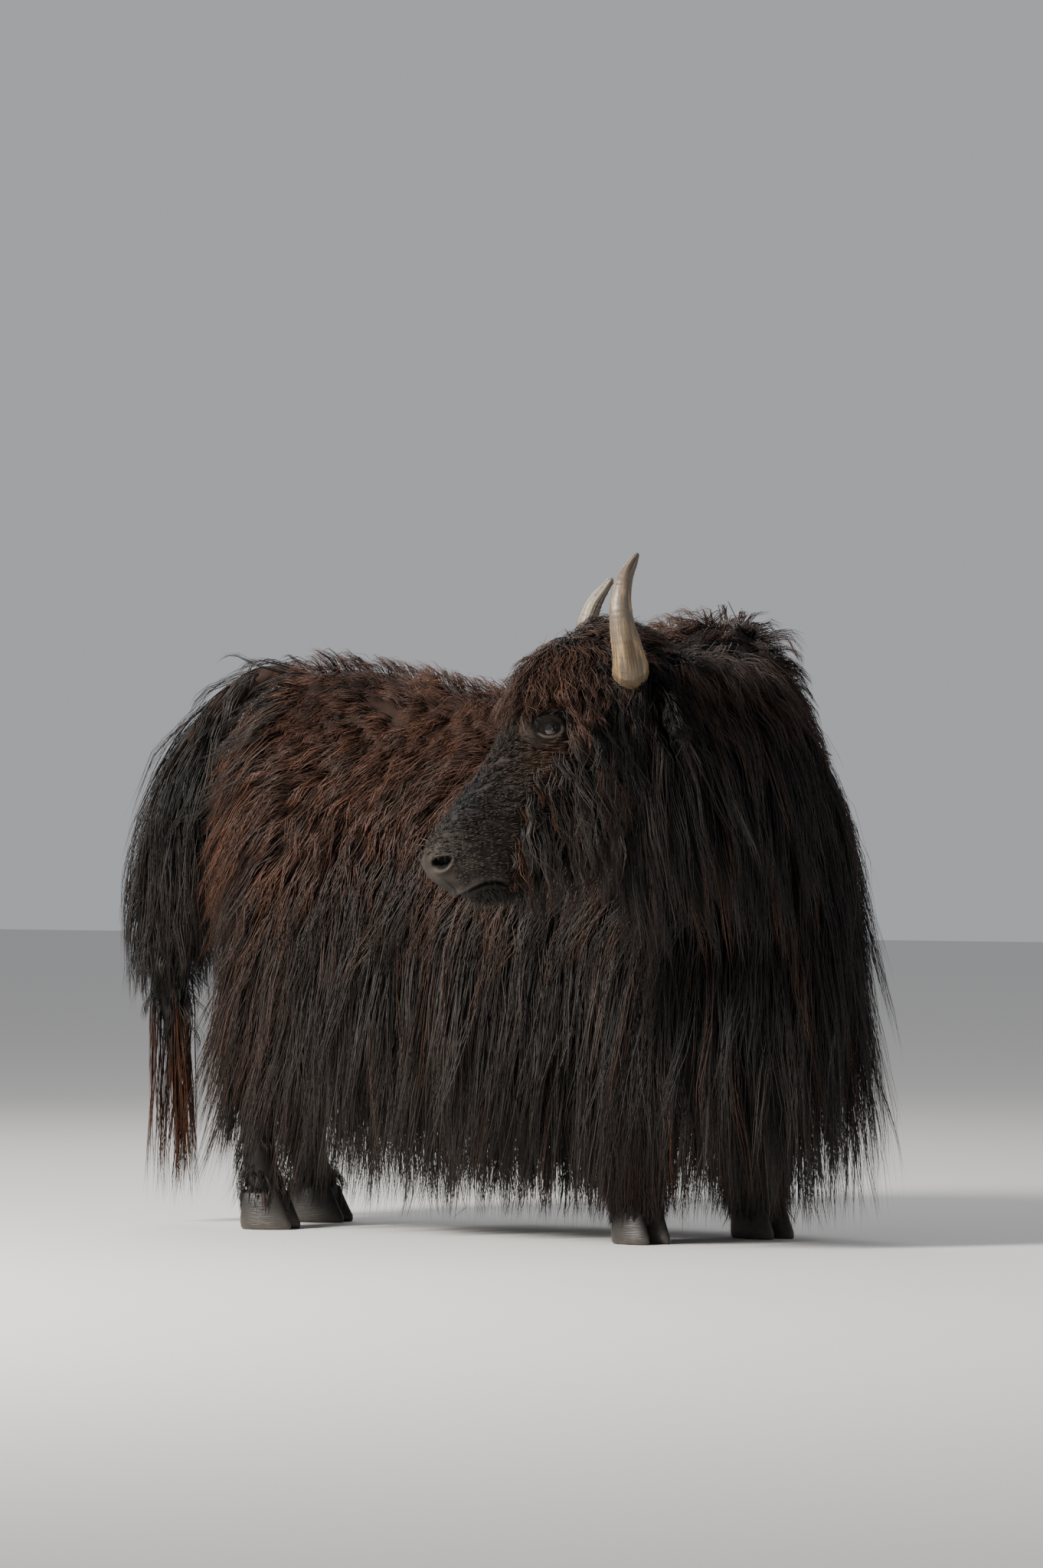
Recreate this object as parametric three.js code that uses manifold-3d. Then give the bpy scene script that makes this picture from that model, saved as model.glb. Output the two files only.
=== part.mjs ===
// A domestic yak in its long coat, life-size, standing and looking back over its right shoulder.
// Lengths are in millimetres. The trunk faces -Y, the right side is towards -X and the hooves stand on Z = 0.
import * as THREE from "three";
import { mergeVertices } from "three/addons/utils/BufferGeometryUtils.js";
import Module from "manifold-3d";

const wasm = await Module();
wasm.setup();

const { degToRad } = THREE.MathUtils;
const UP = new THREE.Vector3(0, 0, 1);

// Driving dimensions
const GAP = 0.35; // between nodes that touch
const HUMP = 1130; // from the tail root to the top of the hump, along the back
const CORE_HEM = 250; // height of the skirt's core, half way from the belly to the tips of its locks
const SKIRT_MIDDLE = 735; // distance along the back to the middle of the skirt
const HEAD_LEVEL = 1177; // height of the line through both horn roots
const HEAD_PITCH = 50.5; // degrees that the face slopes down
const HEAD_ROLL = 5; // degrees that the left side of the head is raised
const HEAD_PLACE = 1653; // distance along the neck line to the horn roots
const EYE = { along: 206, up: 50, out: 88, radius: 24 };
const ORBIT = { along: 202, up: 54, out: 84, radii: [46, 28, 36] };
const OPENING = { long: 21, tall: 12 }; // half the length and height between the lids
const NOSTRIL = { along: 545, up: 45, out: 47, radii: [14, 15, 11] };
const WORN_HORN = { tall: 0.93, back: 0.06, tip: 9 }; // the right horn is shorter and leans back

// Headings along the back and the neck, in degrees turned right from -Y, by distance from the tail root
const TRUNK_HEADING = [
  [-300, -17],
  [0, -17],
  [560, 0],
  [1150, 17],
  [1500, 24],
];
const NECK_HEADING = [
  [1000, 12],
  [1150, 24],
  [1290, 60],
  [1410, 92],
  [1540, 118],
  [1670, 133],
  [1800, 133],
];

// Trunk sections: distance, top, bottom, half width, widest level, power of the top
const TRUNK = [
  [-140, 895, 790, 18, 850, 1],
  [-132, 945, 750, 55, 850, 1],
  [-103, 1042, 640, 116, 820, 1],
  [-55, 1144, 530, 186, 780, 0.95],
  [20, 1210, 450, 238, 750, 0.95],
  [120, 1231, 400, 272, 710, 1],
  [300, 1210, 360, 302, 660, 1.08],
  [500, 1167, 340, 322, 620, 1.12],
  [700, 1141, 335, 322, 590, 1.15],
  [850, 1155, 340, 303, 560, 1.2],
  [1000, 1220, 355, 278, 540, 1.35],
  [HUMP, 1256, 375, 256, 520, 1.5],
  [1220, 1240, 400, 240, 530, 1.45],
  [1320, 1158, 410, 208, 560, 1.3],
  [1390, 1046, 430, 165, 600, 1.1],
  [1440, 920, 490, 110, 660, 1],
  [1466, 820, 570, 52, 700, 1],
  [1474, 750, 630, 20, 700, 1],
];

// Skirt outlines from the top down: level, half length, half width
const SKIRT = [
  [700, 525, 232],
  [610, 602, 292],
  [480, 644, 316],
  [340, 662, 324],
  [CORE_HEM, 668, 326],
];

// Neck sections, with the same columns as the trunk's
const NECK = [
  [1040, 1186, 720, 138, 950, 1.1],
  [1170, 1214, 705, 166, 940, 1.1],
  [1300, 1220, 700, 168, 940, 1.1],
  [1420, 1222, 705, 157, 945, 1.1],
  [1530, 1228, 725, 138, 970, 1.1],
  [1610, 1230, 790, 118, 1025, 1],
  [1660, 1215, 870, 94, 1060, 1],
];

// Head sections from the poll to the lips, in the head's own frame: along the face, top, bottom, half width,
// widest level, power of the top
const HEAD = [
  [-80, 30, -80, 50, -20, 1],
  [-60, 75, -120, 78, -20, 1],
  [-15, 112, -150, 96, -15, 0.9],
  [45, 128, -165, 104, -5, 0.85],
  [110, 126, -162, 108, 15, 0.8],
  [170, 116, -154, 108, 28, 0.75],
  [220, 108, -147, 100, 22, 0.75],
  [285, 102, -138, 80, 8, 0.8],
  [350, 97, -130, 68, -5, 0.8],
  [410, 94, -124, 62, -12, 0.8],
  [460, 92, -118, 60, -10, 0.75],
  [500, 89, -106, 62, 0, 0.7],
  [535, 85, -78, 61, 10, 0.7],
  [558, 74, -44, 51, 14, 0.75],
  [569, 50, -16, 34, 16, 0.85],
];

// Leg sections from the top down: level, distance along the back, distance from the middle, half length,
// half width
const FORE_LEG = [
  [800, 1120, 150, 110, 70],
  [640, 1090, 160, 92, 66],
  [520, 1070, 165, 70, 56],
  [400, 1060, 166, 56, 48],
  [330, 1062, 166, 54, 48],
  [250, 1056, 166, 44, 42],
  [150, 1052, 166, 42, 42],
  [110, 1055, 166, 47, 47],
  [72, 1066, 166, 50, 50],
];
const HIND_LEG = [
  [900, 150, 130, 140, 80],
  [760, 130, 145, 135, 80],
  [620, 80, 150, 105, 70],
  [500, 20, 152, 74, 54],
  [410, -28, 152, 58, 44],
  [320, -30, 152, 46, 42],
  [150, -22, 152, 42, 42],
  [110, -14, 152, 47, 47],
  [72, -2, 152, 50, 50],
];

// Tail, from the root down: distance along the back, level, radius across, radius fore and aft
const TAIL = [
  [60, 1168, 40, 30],
  [-40, 1188, 54, 38],
  [-132, 1140, 72, 52],
  [-212, 1030, 92, 70],
  [-260, 880, 104, 84],
  [-282, 700, 98, 86],
  [-282, 540, 72, 64],
  [-270, 400, 34, 34],
  [-262, 330, 12, 12],
];

// The line between the lips, from the front to a corner, in the head's own frame: along the face, up
const MOUTH = [
  [566, -28],
  [545, -35],
  [522, -47],
  [506, -62],
  [496, -80],
];

// Horn, from the root out: outwards, ahead, up, radius
const HORN = [
  [60, 0, -16, 34],
  [104, 2, -16, 37],
  [137, 8, -4, 37],
  [160, 20, 32, 32],
  [172, 32, 80, 26],
  [172, 33, 126, 22],
  [163, 22, 170, 17],
  [151, 2, 205, 10.5],
  [146, -10, 224, 4],
];

// Ear, from the root out: outwards, ahead, up, half width
const EAR = [
  [70, -26, -34, 20],
  [100, -46, -52, 29],
  [130, -62, -76, 35],
  [148, -74, -106, 30],
  [158, -84, -136, 11],
];

// A smooth curve through rows of [position, value, value, ...], as a function that returns the values there.
function profile(rows) {
  const slope = (i, column) => {
    const before = rows[Math.max(i - 1, 0)];
    const after = rows[Math.min(i + 1, rows.length - 1)];
    return (after[column] - before[column]) / (after[0] - before[0]);
  };
  const rising = rows.at(-1)[0] > rows[0][0];
  return (position) => {
    const past = rows.findIndex(([p]) => (rising ? p > position : p < position));
    const end = past < 0 ? rows.length - 1 : Math.max(past, 1);
    const [low, high] = [rows[end - 1], rows[end]];
    const span = high[0] - low[0];
    const t = THREE.MathUtils.clamp((position - low[0]) / span, 0, 1);
    return low.slice(1).map((value, i) => {
      const column = i + 1;
      const [a, b] = [slope(end - 1, column) * span, slope(end, column) * span];
      const rise = high[column] - value;
      return value + t * (a + t * (3 * rise - 2 * a - b + t * (a + b - 2 * rise)));
    });
  };
}

// A level line traced from a start point by its heading, as a function of distance that returns the point
// there and the ways ahead and left.
function levelLine(headings, start) {
  const step = 10;
  const heading = profile(headings);
  const first = headings[0][0];
  const way = (s) => {
    const turn = degToRad(heading(s)[0]);
    return new THREE.Vector3(-Math.sin(turn), -Math.cos(turn), 0);
  };
  const points = [start.clone()];
  for (let s = first; s < headings.at(-1)[0]; s += step)
    points.push(points.at(-1).clone().addScaledVector(way(s + step / 2), step));
  return (s) => {
    const place = THREE.MathUtils.clamp((s - first) / step, 0, points.length - 1.001);
    const i = Math.floor(place);
    const ahead = way(s);
    return {
      point: points[i].clone().lerp(points[i + 1], place - i),
      ahead,
      left: new THREE.Vector3().crossVectors(UP, ahead),
    };
  };
}

// The place at a distance along a level line, so far to the left of it and so far up.
function beside(line, s, left, level) {
  const at = line(s);
  return at.point.addScaledVector(at.left, left).setZ(level);
}

// Points round one section. Above its widest level it closes in by the power of the top.
function sectionRing(put, [top, bottom, half, wide, power], sides, grow) {
  return Array.from({ length: sides }, (_, i) => {
    const turn = (2 * Math.PI * i) / sides;
    const [across, up] = [Math.cos(turn), Math.sin(turn)];
    const reach = (half + grow) * Math.abs(across) ** (up > 0 ? power : 1);
    const rise = up > 0 ? top - wide + grow : wide - bottom + grow;
    return put(Math.sign(across) * reach, wide + rise * up);
  });
}

// A solid of shared corners and triangles, turned the right way out.
function solidOf(corners, triangles) {
  const mesh = (order) =>
    new wasm.Manifold(
      new wasm.Mesh({
        numProp: 3,
        vertProperties: new Float32Array(corners.flatMap((p) => [p.x, p.y, p.z])),
        triVerts: new Uint32Array(order.flat()),
      }),
    );
  const made = mesh(triangles);
  return made.volume() > 0 ? made : mesh(triangles.map(([a, b, c]) => [a, c, b]));
}

// How far an end section is moved out along its line, so that a grown form is longer too.
function endShift(i, count, grow) {
  if (i === 0) return -grow;
  return i === count - 1 ? grow : 0;
}

// A closed skin over rings of as many points each, with both ends filled round their middles.
function loft(rings) {
  const sides = rings[0].length;
  const corners = rings.flat();
  const triangles = [];
  for (let r = 0; r + 1 < rings.length; r++)
    for (let i = 0; i < sides; i++) {
      const [a, b] = [r * sides + i, r * sides + ((i + 1) % sides)];
      triangles.push([a, b, b + sides], [a, b + sides, a + sides]);
    }
  for (const [r, turned] of [[0, true], [rings.length - 1, false]]) {
    const middle = corners.length;
    const sum = rings[r].reduce((total, p) => total.add(p), new THREE.Vector3());
    corners.push(sum.divideScalar(sides));
    for (let i = 0; i < sides; i++) {
      const [a, b] = [r * sides + i, r * sides + ((i + 1) % sides)];
      triangles.push(turned ? [b, a, middle] : [a, b, middle]);
    }
  }
  return solidOf(corners, triangles);
}

// A three.js geometry as a solid.
function solidFrom(geometry) {
  geometry.deleteAttribute("normal");
  geometry.deleteAttribute("uv");
  const merged = mergeVertices(geometry, 1e-3);
  const place = merged.getAttribute("position");
  const corners = Array.from({ length: place.count }, (_, i) =>
    new THREE.Vector3().fromBufferAttribute(place, i),
  );
  const index = Array.from(merged.index.array);
  const triangles = Array.from({ length: index.length / 3 }, (_, i) =>
    index.slice(3 * i, 3 * i + 3),
  ).filter(([a, b, c]) => a !== b && b !== c && c !== a);
  return solidOf(corners, triangles);
}

// A ball drawn out to three radii, in a frame given by its origin and axes.
function ellipsoid(frame, [x, y, z], radii, rings = 10) {
  const ball = new THREE.SphereGeometry(1, 2 * rings, rings).scale(...radii).translate(x, y, z);
  return solidFrom(ball.applyMatrix4(frame));
}

// A round tube through points, with a radius at each: one number, or one along each of its cross axes.
function tube(points, radii, sides, grow, sideways = UP) {
  const curve = new THREE.CatmullRomCurve3(points);
  const steps = points.length - 1;
  const rings = points.map((_, i) => {
    const ahead = curve.getTangent(i / steps);
    const across = new THREE.Vector3().crossVectors(ahead, sideways).normalize();
    const up = new THREE.Vector3().crossVectors(across, ahead);
    const [wide, tall] = [radii[i]].flat();
    return Array.from({ length: sides }, (_, k) => {
      const turn = (2 * Math.PI * k) / sides;
      return points[i]
        .clone()
        .addScaledVector(ahead, endShift(i, points.length, grow))
        .addScaledVector(across, (wide + grow) * Math.cos(turn))
        .addScaledVector(up, ((tall ?? wide) + grow) * Math.sin(turn));
    });
  });
  return loft(rings);
}

// Evenly spaced rows of a profile between its ends.
function resample(rows, count) {
  const at = profile(rows.map((row, i) => [i, ...row]));
  return Array.from({ length: count }, (_, i) => at((i * (rows.length - 1)) / (count - 1)));
}

// The largest closed body of a solid.
function largest(solid) {
  return solid.decompose().reduce((a, b) => (b.volume() > a.volume() ? b : a));
}

function joined(solids) {
  return solids.reduce((a, b) => a.add(b));
}

// Lines of the back and the neck
const back = levelLine(TRUNK_HEADING, new THREE.Vector3());
const neckStart = NECK_HEADING[0][0];
const nape = levelLine(NECK_HEADING, back(neckStart).point);

// The head's frame: along the face, left, and up from the face
const headTurn = nape(HEAD_PLACE);
const headFrame = new THREE.Matrix4()
  .makeBasis(headTurn.ahead, headTurn.left, UP)
  .setPosition(headTurn.point.setZ(HEAD_LEVEL))
  .multiply(new THREE.Matrix4().makeRotationX(degToRad(HEAD_ROLL)));
const faceFrame = headFrame.clone().multiply(new THREE.Matrix4().makeRotationY(degToRad(HEAD_PITCH)));

function onHead(ahead, left, up) {
  return new THREE.Vector3(ahead, left, up).applyMatrix4(headFrame);
}

function onFace(along, left, up) {
  return new THREE.Vector3(along, left, up).applyMatrix4(faceFrame);
}

// Torso
function trunk(grow) {
  return loft(
    resample(TRUNK, 18).map(([s, ...section], i, all) => {
      const place = s + endShift(i, all.length, grow);
      return sectionRing((left, level) => beside(back, place, left, level), section, 16, grow);
    }),
  );
}

function hump(grow) {
  const rise = new THREE.Matrix4().makeBasis(back(HUMP).ahead, back(HUMP).left, UP);
  rise.setPosition(back(HUMP - 20).point);
  return ellipsoid(rise, [0, 0, 1178], [205 + grow, 110 + grow, 120 + grow], 7);
}

function squared(value) {
  return Math.sign(value) * Math.abs(value) ** 0.7;
}

function skirt(hem, grow) {
  const outline = profile(SKIRT);
  const levels = 5;
  return loft(
    Array.from({ length: levels }, (_, i) => {
      const level = THREE.MathUtils.lerp(SKIRT[0][0] + grow, hem - grow, i / (levels - 1));
      const [long, wide] = outline(level);
      return Array.from({ length: 28 }, (_, k) => {
        const turn = (2 * Math.PI * k) / 28;
        const s = SKIRT_MIDDLE + (long + grow) * squared(Math.cos(turn));
        return beside(back, s, (wide + grow) * squared(Math.sin(turn)), level);
      });
    }),
  );
}

function torso(grow) {
  return joined([trunk(grow), hump(grow), skirt(CORE_HEM, grow)]);
}

// Neck
function neck(grow) {
  return loft(
    resample(NECK, 11).map(([s, ...section], i, all) => {
      const place = s + endShift(i, all.length, grow);
      return sectionRing((left, level) => beside(nape, place, left, level), section, 16, grow);
    }),
  );
}

// Head
const headSection = profile(HEAD);

function skull(grow) {
  return loft(
    resample(HEAD, 15).map(([along, ...section], i, all) => {
      const place = along + endShift(i, all.length, grow);
      return sectionRing((left, up) => onFace(place, left, up), section, 16, grow);
    }),
  );
}

// Half the head's width at a place on the face.
function cheek(along, up) {
  const [top, bottom, half, wide, power] = headSection(along);
  const reach = up > wide ? (up - wide) / (top - wide) : (wide - up) / (wide - bottom);
  const round = Math.sqrt(Math.max(1 - reach ** 2, 0));
  return half * round ** (up > wide ? power : 1);
}

function orbit(side, grow) {
  const { along, up, out, radii } = ORBIT;
  return ellipsoid(faceFrame, [along, side * out, up], radii.map((r) => r + grow), 6);
}

function forelock(grow) {
  return ellipsoid(faceFrame, [110, 0, 92], [136 + grow, 78 + grow, 66 + grow], 7);
}

function head(grow) {
  return joined([skull(grow), forelock(grow), orbit(1, grow), orbit(-1, grow)]);
}

// Eyes and lids
function eye(side, grow) {
  const r = EYE.radius + grow;
  return ellipsoid(faceFrame, [EYE.along, side * EYE.out, EYE.up], [r, r, r], 6);
}

function lidPoint(turn) {
  const [x, y] = [OPENING.long * Math.cos(turn), OPENING.tall * Math.sin(turn)];
  return [EYE.along + x, EYE.up + y];
}

function lidOpening(side) {
  return loft(
    [EYE.out, EYE.out + 60].map((out) =>
      Array.from({ length: 10 }, (_, k) => {
        const [along, up] = lidPoint((2 * Math.PI * k) / 10);
        return onFace(along, side * out, up);
      }),
    ),
  );
}

function lid(side, half) {
  const { radii } = ORBIT;
  const steps = 6;
  const points = Array.from({ length: steps + 1 }, (_, k) => {
    const [along, up] = lidPoint(half * ((Math.PI * (k + 0.3)) / (steps + 0.6)));
    const [x, y] = [(along - ORBIT.along) / radii[0], (up - ORBIT.up) / radii[2]];
    const out = ORBIT.out + radii[1] * Math.sqrt(Math.max(1 - x * x - y * y, 0)) - 1.5;
    return onFace(along, side * out, up);
  });
  const radius = (k) => 2.4 + 2.2 * Math.sin((Math.PI * k) / steps);
  return tube(points, points.map((_, k) => radius(k)), 5, 0);
}

// Nostrils
function nostril(side, radii) {
  return ellipsoid(faceFrame, [NOSTRIL.along, side * NOSTRIL.out, NOSTRIL.up], radii, 5);
}

// Mouth: a groove between two lips, each a band from one corner round the front to the other
function mouthBand(offset, sunk, radii, sides) {
  const flank = (sign) =>
    resample(MOUTH, 5).map(([along, up], i) => {
      const out = Math.max(cheek(along, up + offset) - sunk, 20) - (i === 0 ? 12 : 0);
      return onFace(along, sign * out, up + offset);
    });
  const front = onFace(MOUTH[0][0] + 6 - sunk, 0, MOUTH[0][1] + offset);
  const points = [...flank(1).reverse(), front, ...flank(-1)];
  const half = (points.length - 1) / 2;
  const full = (k) => 1 - Math.abs((k - half) / half) ** 4;
  const across = onFace(0.55, 0, 0.83).sub(onFace(0, 0, 0));
  return tube(points, points.map((_, k) => radii.map((r) => 2 + (r - 2) * full(k))), sides, 0, across);
}

// Horns
function horn(side, grow) {
  const worn = side < 0 ? WORN_HORN : { tall: 1, back: 0, tip: 4 };
  const rows = resample(HORN, 12);
  return tube(
    rows.map(([out, ahead, up]) => onHead(ahead - worn.back * up, side * out, up * worn.tall)),
    rows.map((row) => Math.max(row[3], worn.tip)),
    10,
    grow,
    headTurn.ahead,
  );
}

// Ears, each with a cup open to the front
function ear(side, grow) {
  const rows = resample(EAR, 7);
  const line = (shift) => rows.map(([out, ahead, up]) => onHead(ahead + shift, side * out, up));
  const leaf = tube(line(0), rows.map((row) => [row[3], 13]), 8, grow, headTurn.ahead);
  if (grow > 0) return leaf;
  const inner = rows.slice(2).map((row) => [row[3] - 6, 11]);
  return leaf.subtract(tube(line(10).slice(2), inner, 8, 0, headTurn.ahead));
}

// Legs
function leg(rows, side, grow) {
  return loft(
    resample(rows, 12).map(([level, s, middle, long, wide], i, all) => {
      const height = level - endShift(i, all.length, grow);
      return Array.from({ length: 12 }, (_, k) => {
        const turn = (2 * Math.PI * k) / 12;
        return beside(
          back,
          s + (long + grow) * Math.cos(turn),
          side * middle + (wide + grow) * Math.sin(turn),
          height,
        );
      });
    }),
  );
}

// Hooves
function hoof(rows, side) {
  const [top, s, middle] = rows.at(-1);
  const claw = (inner) => {
    const rings = [
      [0, 8, 60, 25],
      [14, 6, 61, 26],
      [top - GAP, -5, 47, 23],
    ];
    return loft(
      rings.map(([level, ahead, long, wide]) =>
        Array.from({ length: 10 }, (_, k) => {
          const turn = (2 * Math.PI * k) / 10;
          const toe = Math.cos(turn) > 0 ? 1 - 0.25 * Math.cos(turn) ** 2 : 1;
          return beside(
            back,
            s + ahead + long * Math.cos(turn),
            side * middle + inner * 27 + wide * Math.sin(turn) * toe,
            level,
          );
        }),
      ),
    );
  };
  const coronet = loft(
    [top - 30, top - GAP].map((level) =>
      Array.from({ length: 8 }, (_, k) => {
        const turn = (2 * Math.PI * k) / 8;
        return beside(back, s - 6 + 44 * Math.cos(turn), side * middle + 40 * Math.sin(turn), level);
      }),
    ),
  );
  return joined([claw(1), claw(-1), coronet]);
}

// Tail
function tail(grow) {
  const rows = resample(TAIL, 12);
  const { left } = back(-100);
  return tube(
    rows.map(([s, level]) => beside(back, s, 0, level)),
    rows.map((row) => [row[3], row[2]]),
    12,
    grow,
    left,
  );
}

// Locks: flat, tapered bundles of hair, sunk in the core at their roots and lying over one another

// Seeded numbers between -1 and 1.
function seeded(seed) {
  let state = seed;
  return () => {
    state = (state * 16807) % 2147483647;
    return (2 * state) / 2147483647 - 1;
  };
}

// A three-sided lock along a path, widest at a third of its length, with its ridge turned outwards. Its sharp
// edges and its tip grow by more than its faces do.
function lock({ points, outward, width, thick }, grow) {
  const last = points.length - 1;
  const corners = points.slice(0, last).flatMap((p, k) => {
    const t = k / last;
    const along = points[k + 1].clone().sub(points[Math.max(k - 1, 0)]).normalize();
    const across = new THREE.Vector3().crossVectors(along, outward[k]).normalize();
    const out = new THREE.Vector3().crossVectors(across, along);
    const half = (width / 2) * (0.7 + 1.1 * t - 1.4 * t * t) + 5 * grow;
    const base = p.clone().addScaledVector(out, -5 - grow).addScaledVector(along, k === 0 ? -grow : 0);
    return [
      base.clone().addScaledVector(across, -half),
      base.clone().addScaledVector(across, half),
      base.clone().addScaledVector(out, 5 + thick * (1 - 0.5 * t) + 2.5 * grow),
    ];
  });
  const triangles = [[0, 2, 1]];
  for (let k = 0; k + 1 < last; k++)
    for (const [i, j] of [[0, 1], [1, 2], [2, 0]]) {
      const [a, b] = [3 * k + i, 3 * k + j];
      triangles.push([a, b, b + 3], [a, b + 3, a + 3]);
    }
  const end = corners.length;
  const tip = points[last].clone().sub(points[last - 1]).normalize().multiplyScalar(12 * grow);
  corners.push(points[last].clone().add(tip));
  triangles.push([end - 3, end - 2, end], [end - 2, end - 1, end], [end - 1, end - 3, end]);
  return solidOf(corners, triangles);
}

function lockSolids(locks, grow) {
  return wasm.Manifold.union(locks.map((each) => lock(each, grow)));
}

const STEPS = 3; // lengths that a lock's path is made of
const trunkSection = profile(TRUNK);
const skirtOutline = profile(SKIRT);
const neckSection = profile(NECK);

// Whether a place beside the back is in the torso's core.
function inCore(s, left, level) {
  if (s > TRUNK[0][0] && s < TRUNK.at(-1)[0]) {
    const [top, bottom, half, wide, power] = trunkSection(s);
    const rise = Math.max((level - wide) / (top - wide), 0);
    const low = level < bottom ? 0 : 1;
    if (rise < 1 && low && Math.abs(left) < half * Math.sqrt(1 - rise * rise) ** power) return true;
  }
  const [x, y, z] = [(s - HUMP + 20) / 205, left / 110, (level - 1178) / 120];
  if (x * x + y * y + z * z < 1) return true;
  if (level > SKIRT[0][0]) return false;
  const [long, wide] = skirtOutline(Math.max(level, CORE_HEM));
  const bend = 2 / 0.7;
  return Math.abs((s - SKIRT_MIDDLE) / long) ** bend + Math.abs(left / wide) ** bend < 1;
}

// How far the core reaches from a place on the back line, at an angle from straight ahead round to the left.
function reach(s, turn, level) {
  let [inside, outside] = [0, 1000];
  for (let i = 0; i < 12; i++) {
    const r = (inside + outside) / 2;
    if (inCore(s + r * Math.cos(turn), r * Math.sin(turn), level)) inside = r;
    else outside = r;
  }
  return inside;
}

// A path from root to tip, from a function of how far along it is.
function pathOf(at, bearing) {
  const steps = Array.from({ length: STEPS + 1 }, (_, k) => k / STEPS);
  return { points: steps.map(at), outward: steps.map(bearing) };
}

// A lock hanging down the torso's side.
function flankLock({ s, turn, from, to, sweep, lift, width, thick }) {
  let out = 0;
  const place = (t) => s + sweep * t ** 1.5;
  const at = (t) => {
    const level = THREE.MathUtils.lerp(from, to, t);
    out = Math.max(reach(place(t), turn, level), out - 25);
    const r = out - 14 + (lift + 14) * t ** 0.7;
    return beside(back, place(t) + r * Math.cos(turn), r * Math.sin(turn), level);
  };
  const bearing = (t) => {
    const { ahead, left } = back(place(t));
    return ahead.multiplyScalar(Math.cos(turn)).addScaledVector(left, Math.sin(turn)).setZ(0.3);
  };
  return { ...pathOf(at, bearing), width, thick };
}

// Tiers of locks round the torso, from the hem up: roots, tips, length round the torso for each, width
const TIERS = [
  [370, 118, 104, 116],
  [570, 290, 124, 126],
  [780, 480, 150, 134],
  [990, 690, 180, 128],
];
const ROUND = { front: 1250, rear: 150, frontArc: 370, rearArc: 460 }; // the torso's outline in plan

function torsoLocks() {
  const vary = seeded(71);
  const locks = [];
  const { front, rear, frontArc, rearArc } = ROUND;
  TIERS.forEach(([from, to, spacing, width], tier) => {
    const rearEnd = tier < 2 ? 0.55 : 0.95;
    const total = frontArc + front - rear + rearArc * rearEnd;
    const count = Math.round(total / spacing);
    for (const side of [1, -1])
      for (let i = 0; i < count; i++) {
        const u = ((i + 0.5 + 0.25 * vary()) * total) / count;
        const onFront = Math.min(u / frontArc, 1);
        const onRear = Math.max(u - frontArc - front + rear, 0) / rearArc;
        const s = THREE.MathUtils.clamp(front - (u - frontArc), rear, front);
        if (tier === 3 && s > 900) continue;
        locks.push(
          flankLock({
            s,
            turn: side * (Math.PI / 2) * (onFront + onRear),
            from: from + 35 * vary(),
            to: to + (tier > 0 ? 45 : 32) * vary() - (tier === 0 && s > 930 ? 20 : 0),
            sweep: onFront < 1 || onRear > 0 ? 0 : -30 * tier + 22 * vary(),
            lift: 18 + 7 * vary(),
            width: width * (1 + 0.12 * vary()),
            thick: 20 + 4 * vary(),
          }),
        );
      }
  });
  for (let i = 0; i < 13; i++)
    locks.push(
      flankLock({
        s: HUMP - 20,
        turn: degToRad(-132 + 22 * i + 5 * vary()),
        from: 1284,
        to: 1120 + 30 * vary(),
        sweep: 0,
        lift: 14 + 5 * vary(),
        width: 74,
        thick: 18,
      }),
    );
  return locks;
}

// A lock that hangs down one side of the neck and on below it.
function neckLock({ s, side, from, to, sweep, lift, width, thick }) {
  let out = 0;
  const place = (t) => s + sweep * t ** 1.4;
  const at = (t) => {
    const level = THREE.MathUtils.lerp(from, to, t);
    const [top, bottom, half, wide, power] = neckSection(place(t));
    const rise = THREE.MathUtils.clamp((level - wide) / (top - wide), 0, 1);
    const under = THREE.MathUtils.clamp((bottom + 90 - level) / 200, 0, 0.6);
    out = Math.max(half * Math.sqrt(1 - rise * rise) ** power, out) * (1 - 0.35 * under);
    return beside(nape, place(t), side * (out - 14 + (lift + 14) * t ** 0.7), level);
  };
  const bearing = (t) => nape(place(t)).left.multiplyScalar(side).setZ(0.3);
  return { ...pathOf(at, bearing), width, thick };
}

function neckLocks() {
  const vary = seeded(19);
  const locks = [];
  for (const [from, to, start, end, spacing] of [
    [1212, 960, 1090, 1570, 74],
    [1010, 700, 1100, 1600, 78],
    [850, 585, 1120, 1610, 82],
  ])
    for (const side of [1, -1]) {
      const count = Math.round(((end - start) / spacing) * (side > 0 ? 1 : 0.45));
      for (let i = 0; i < count; i++)
        locks.push(
          neckLock({
            s: start + ((i + 0.5 + 0.2 * vary()) * (end - start)) / count,
            side,
            from: from + 14 * vary() - 6,
            to: to + 40 * vary(),
            sweep: -26 + 20 * vary(),
            lift: 18 + 6 * vary(),
            width: 84 * (1 + 0.12 * vary()),
            thick: 20 + 4 * vary(),
          }),
        );
    }
  return locks;
}

// Height of the crown and the forelock's core over a place on the face.
function crown(along, left) {
  const [top, , half, wide, power] = headSection(along);
  const cos = Math.min(Math.abs(left) / half, 1) ** (1 / power);
  const bare = wide + (top - wide) * Math.sqrt(1 - cos * cos);
  const [x, y] = [(along - 110) / 136, left / 78];
  const under = 1 - x * x - y * y;
  return under > 0 ? Math.max(bare, 92 + 66 * Math.sqrt(under)) : bare;
}

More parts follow.
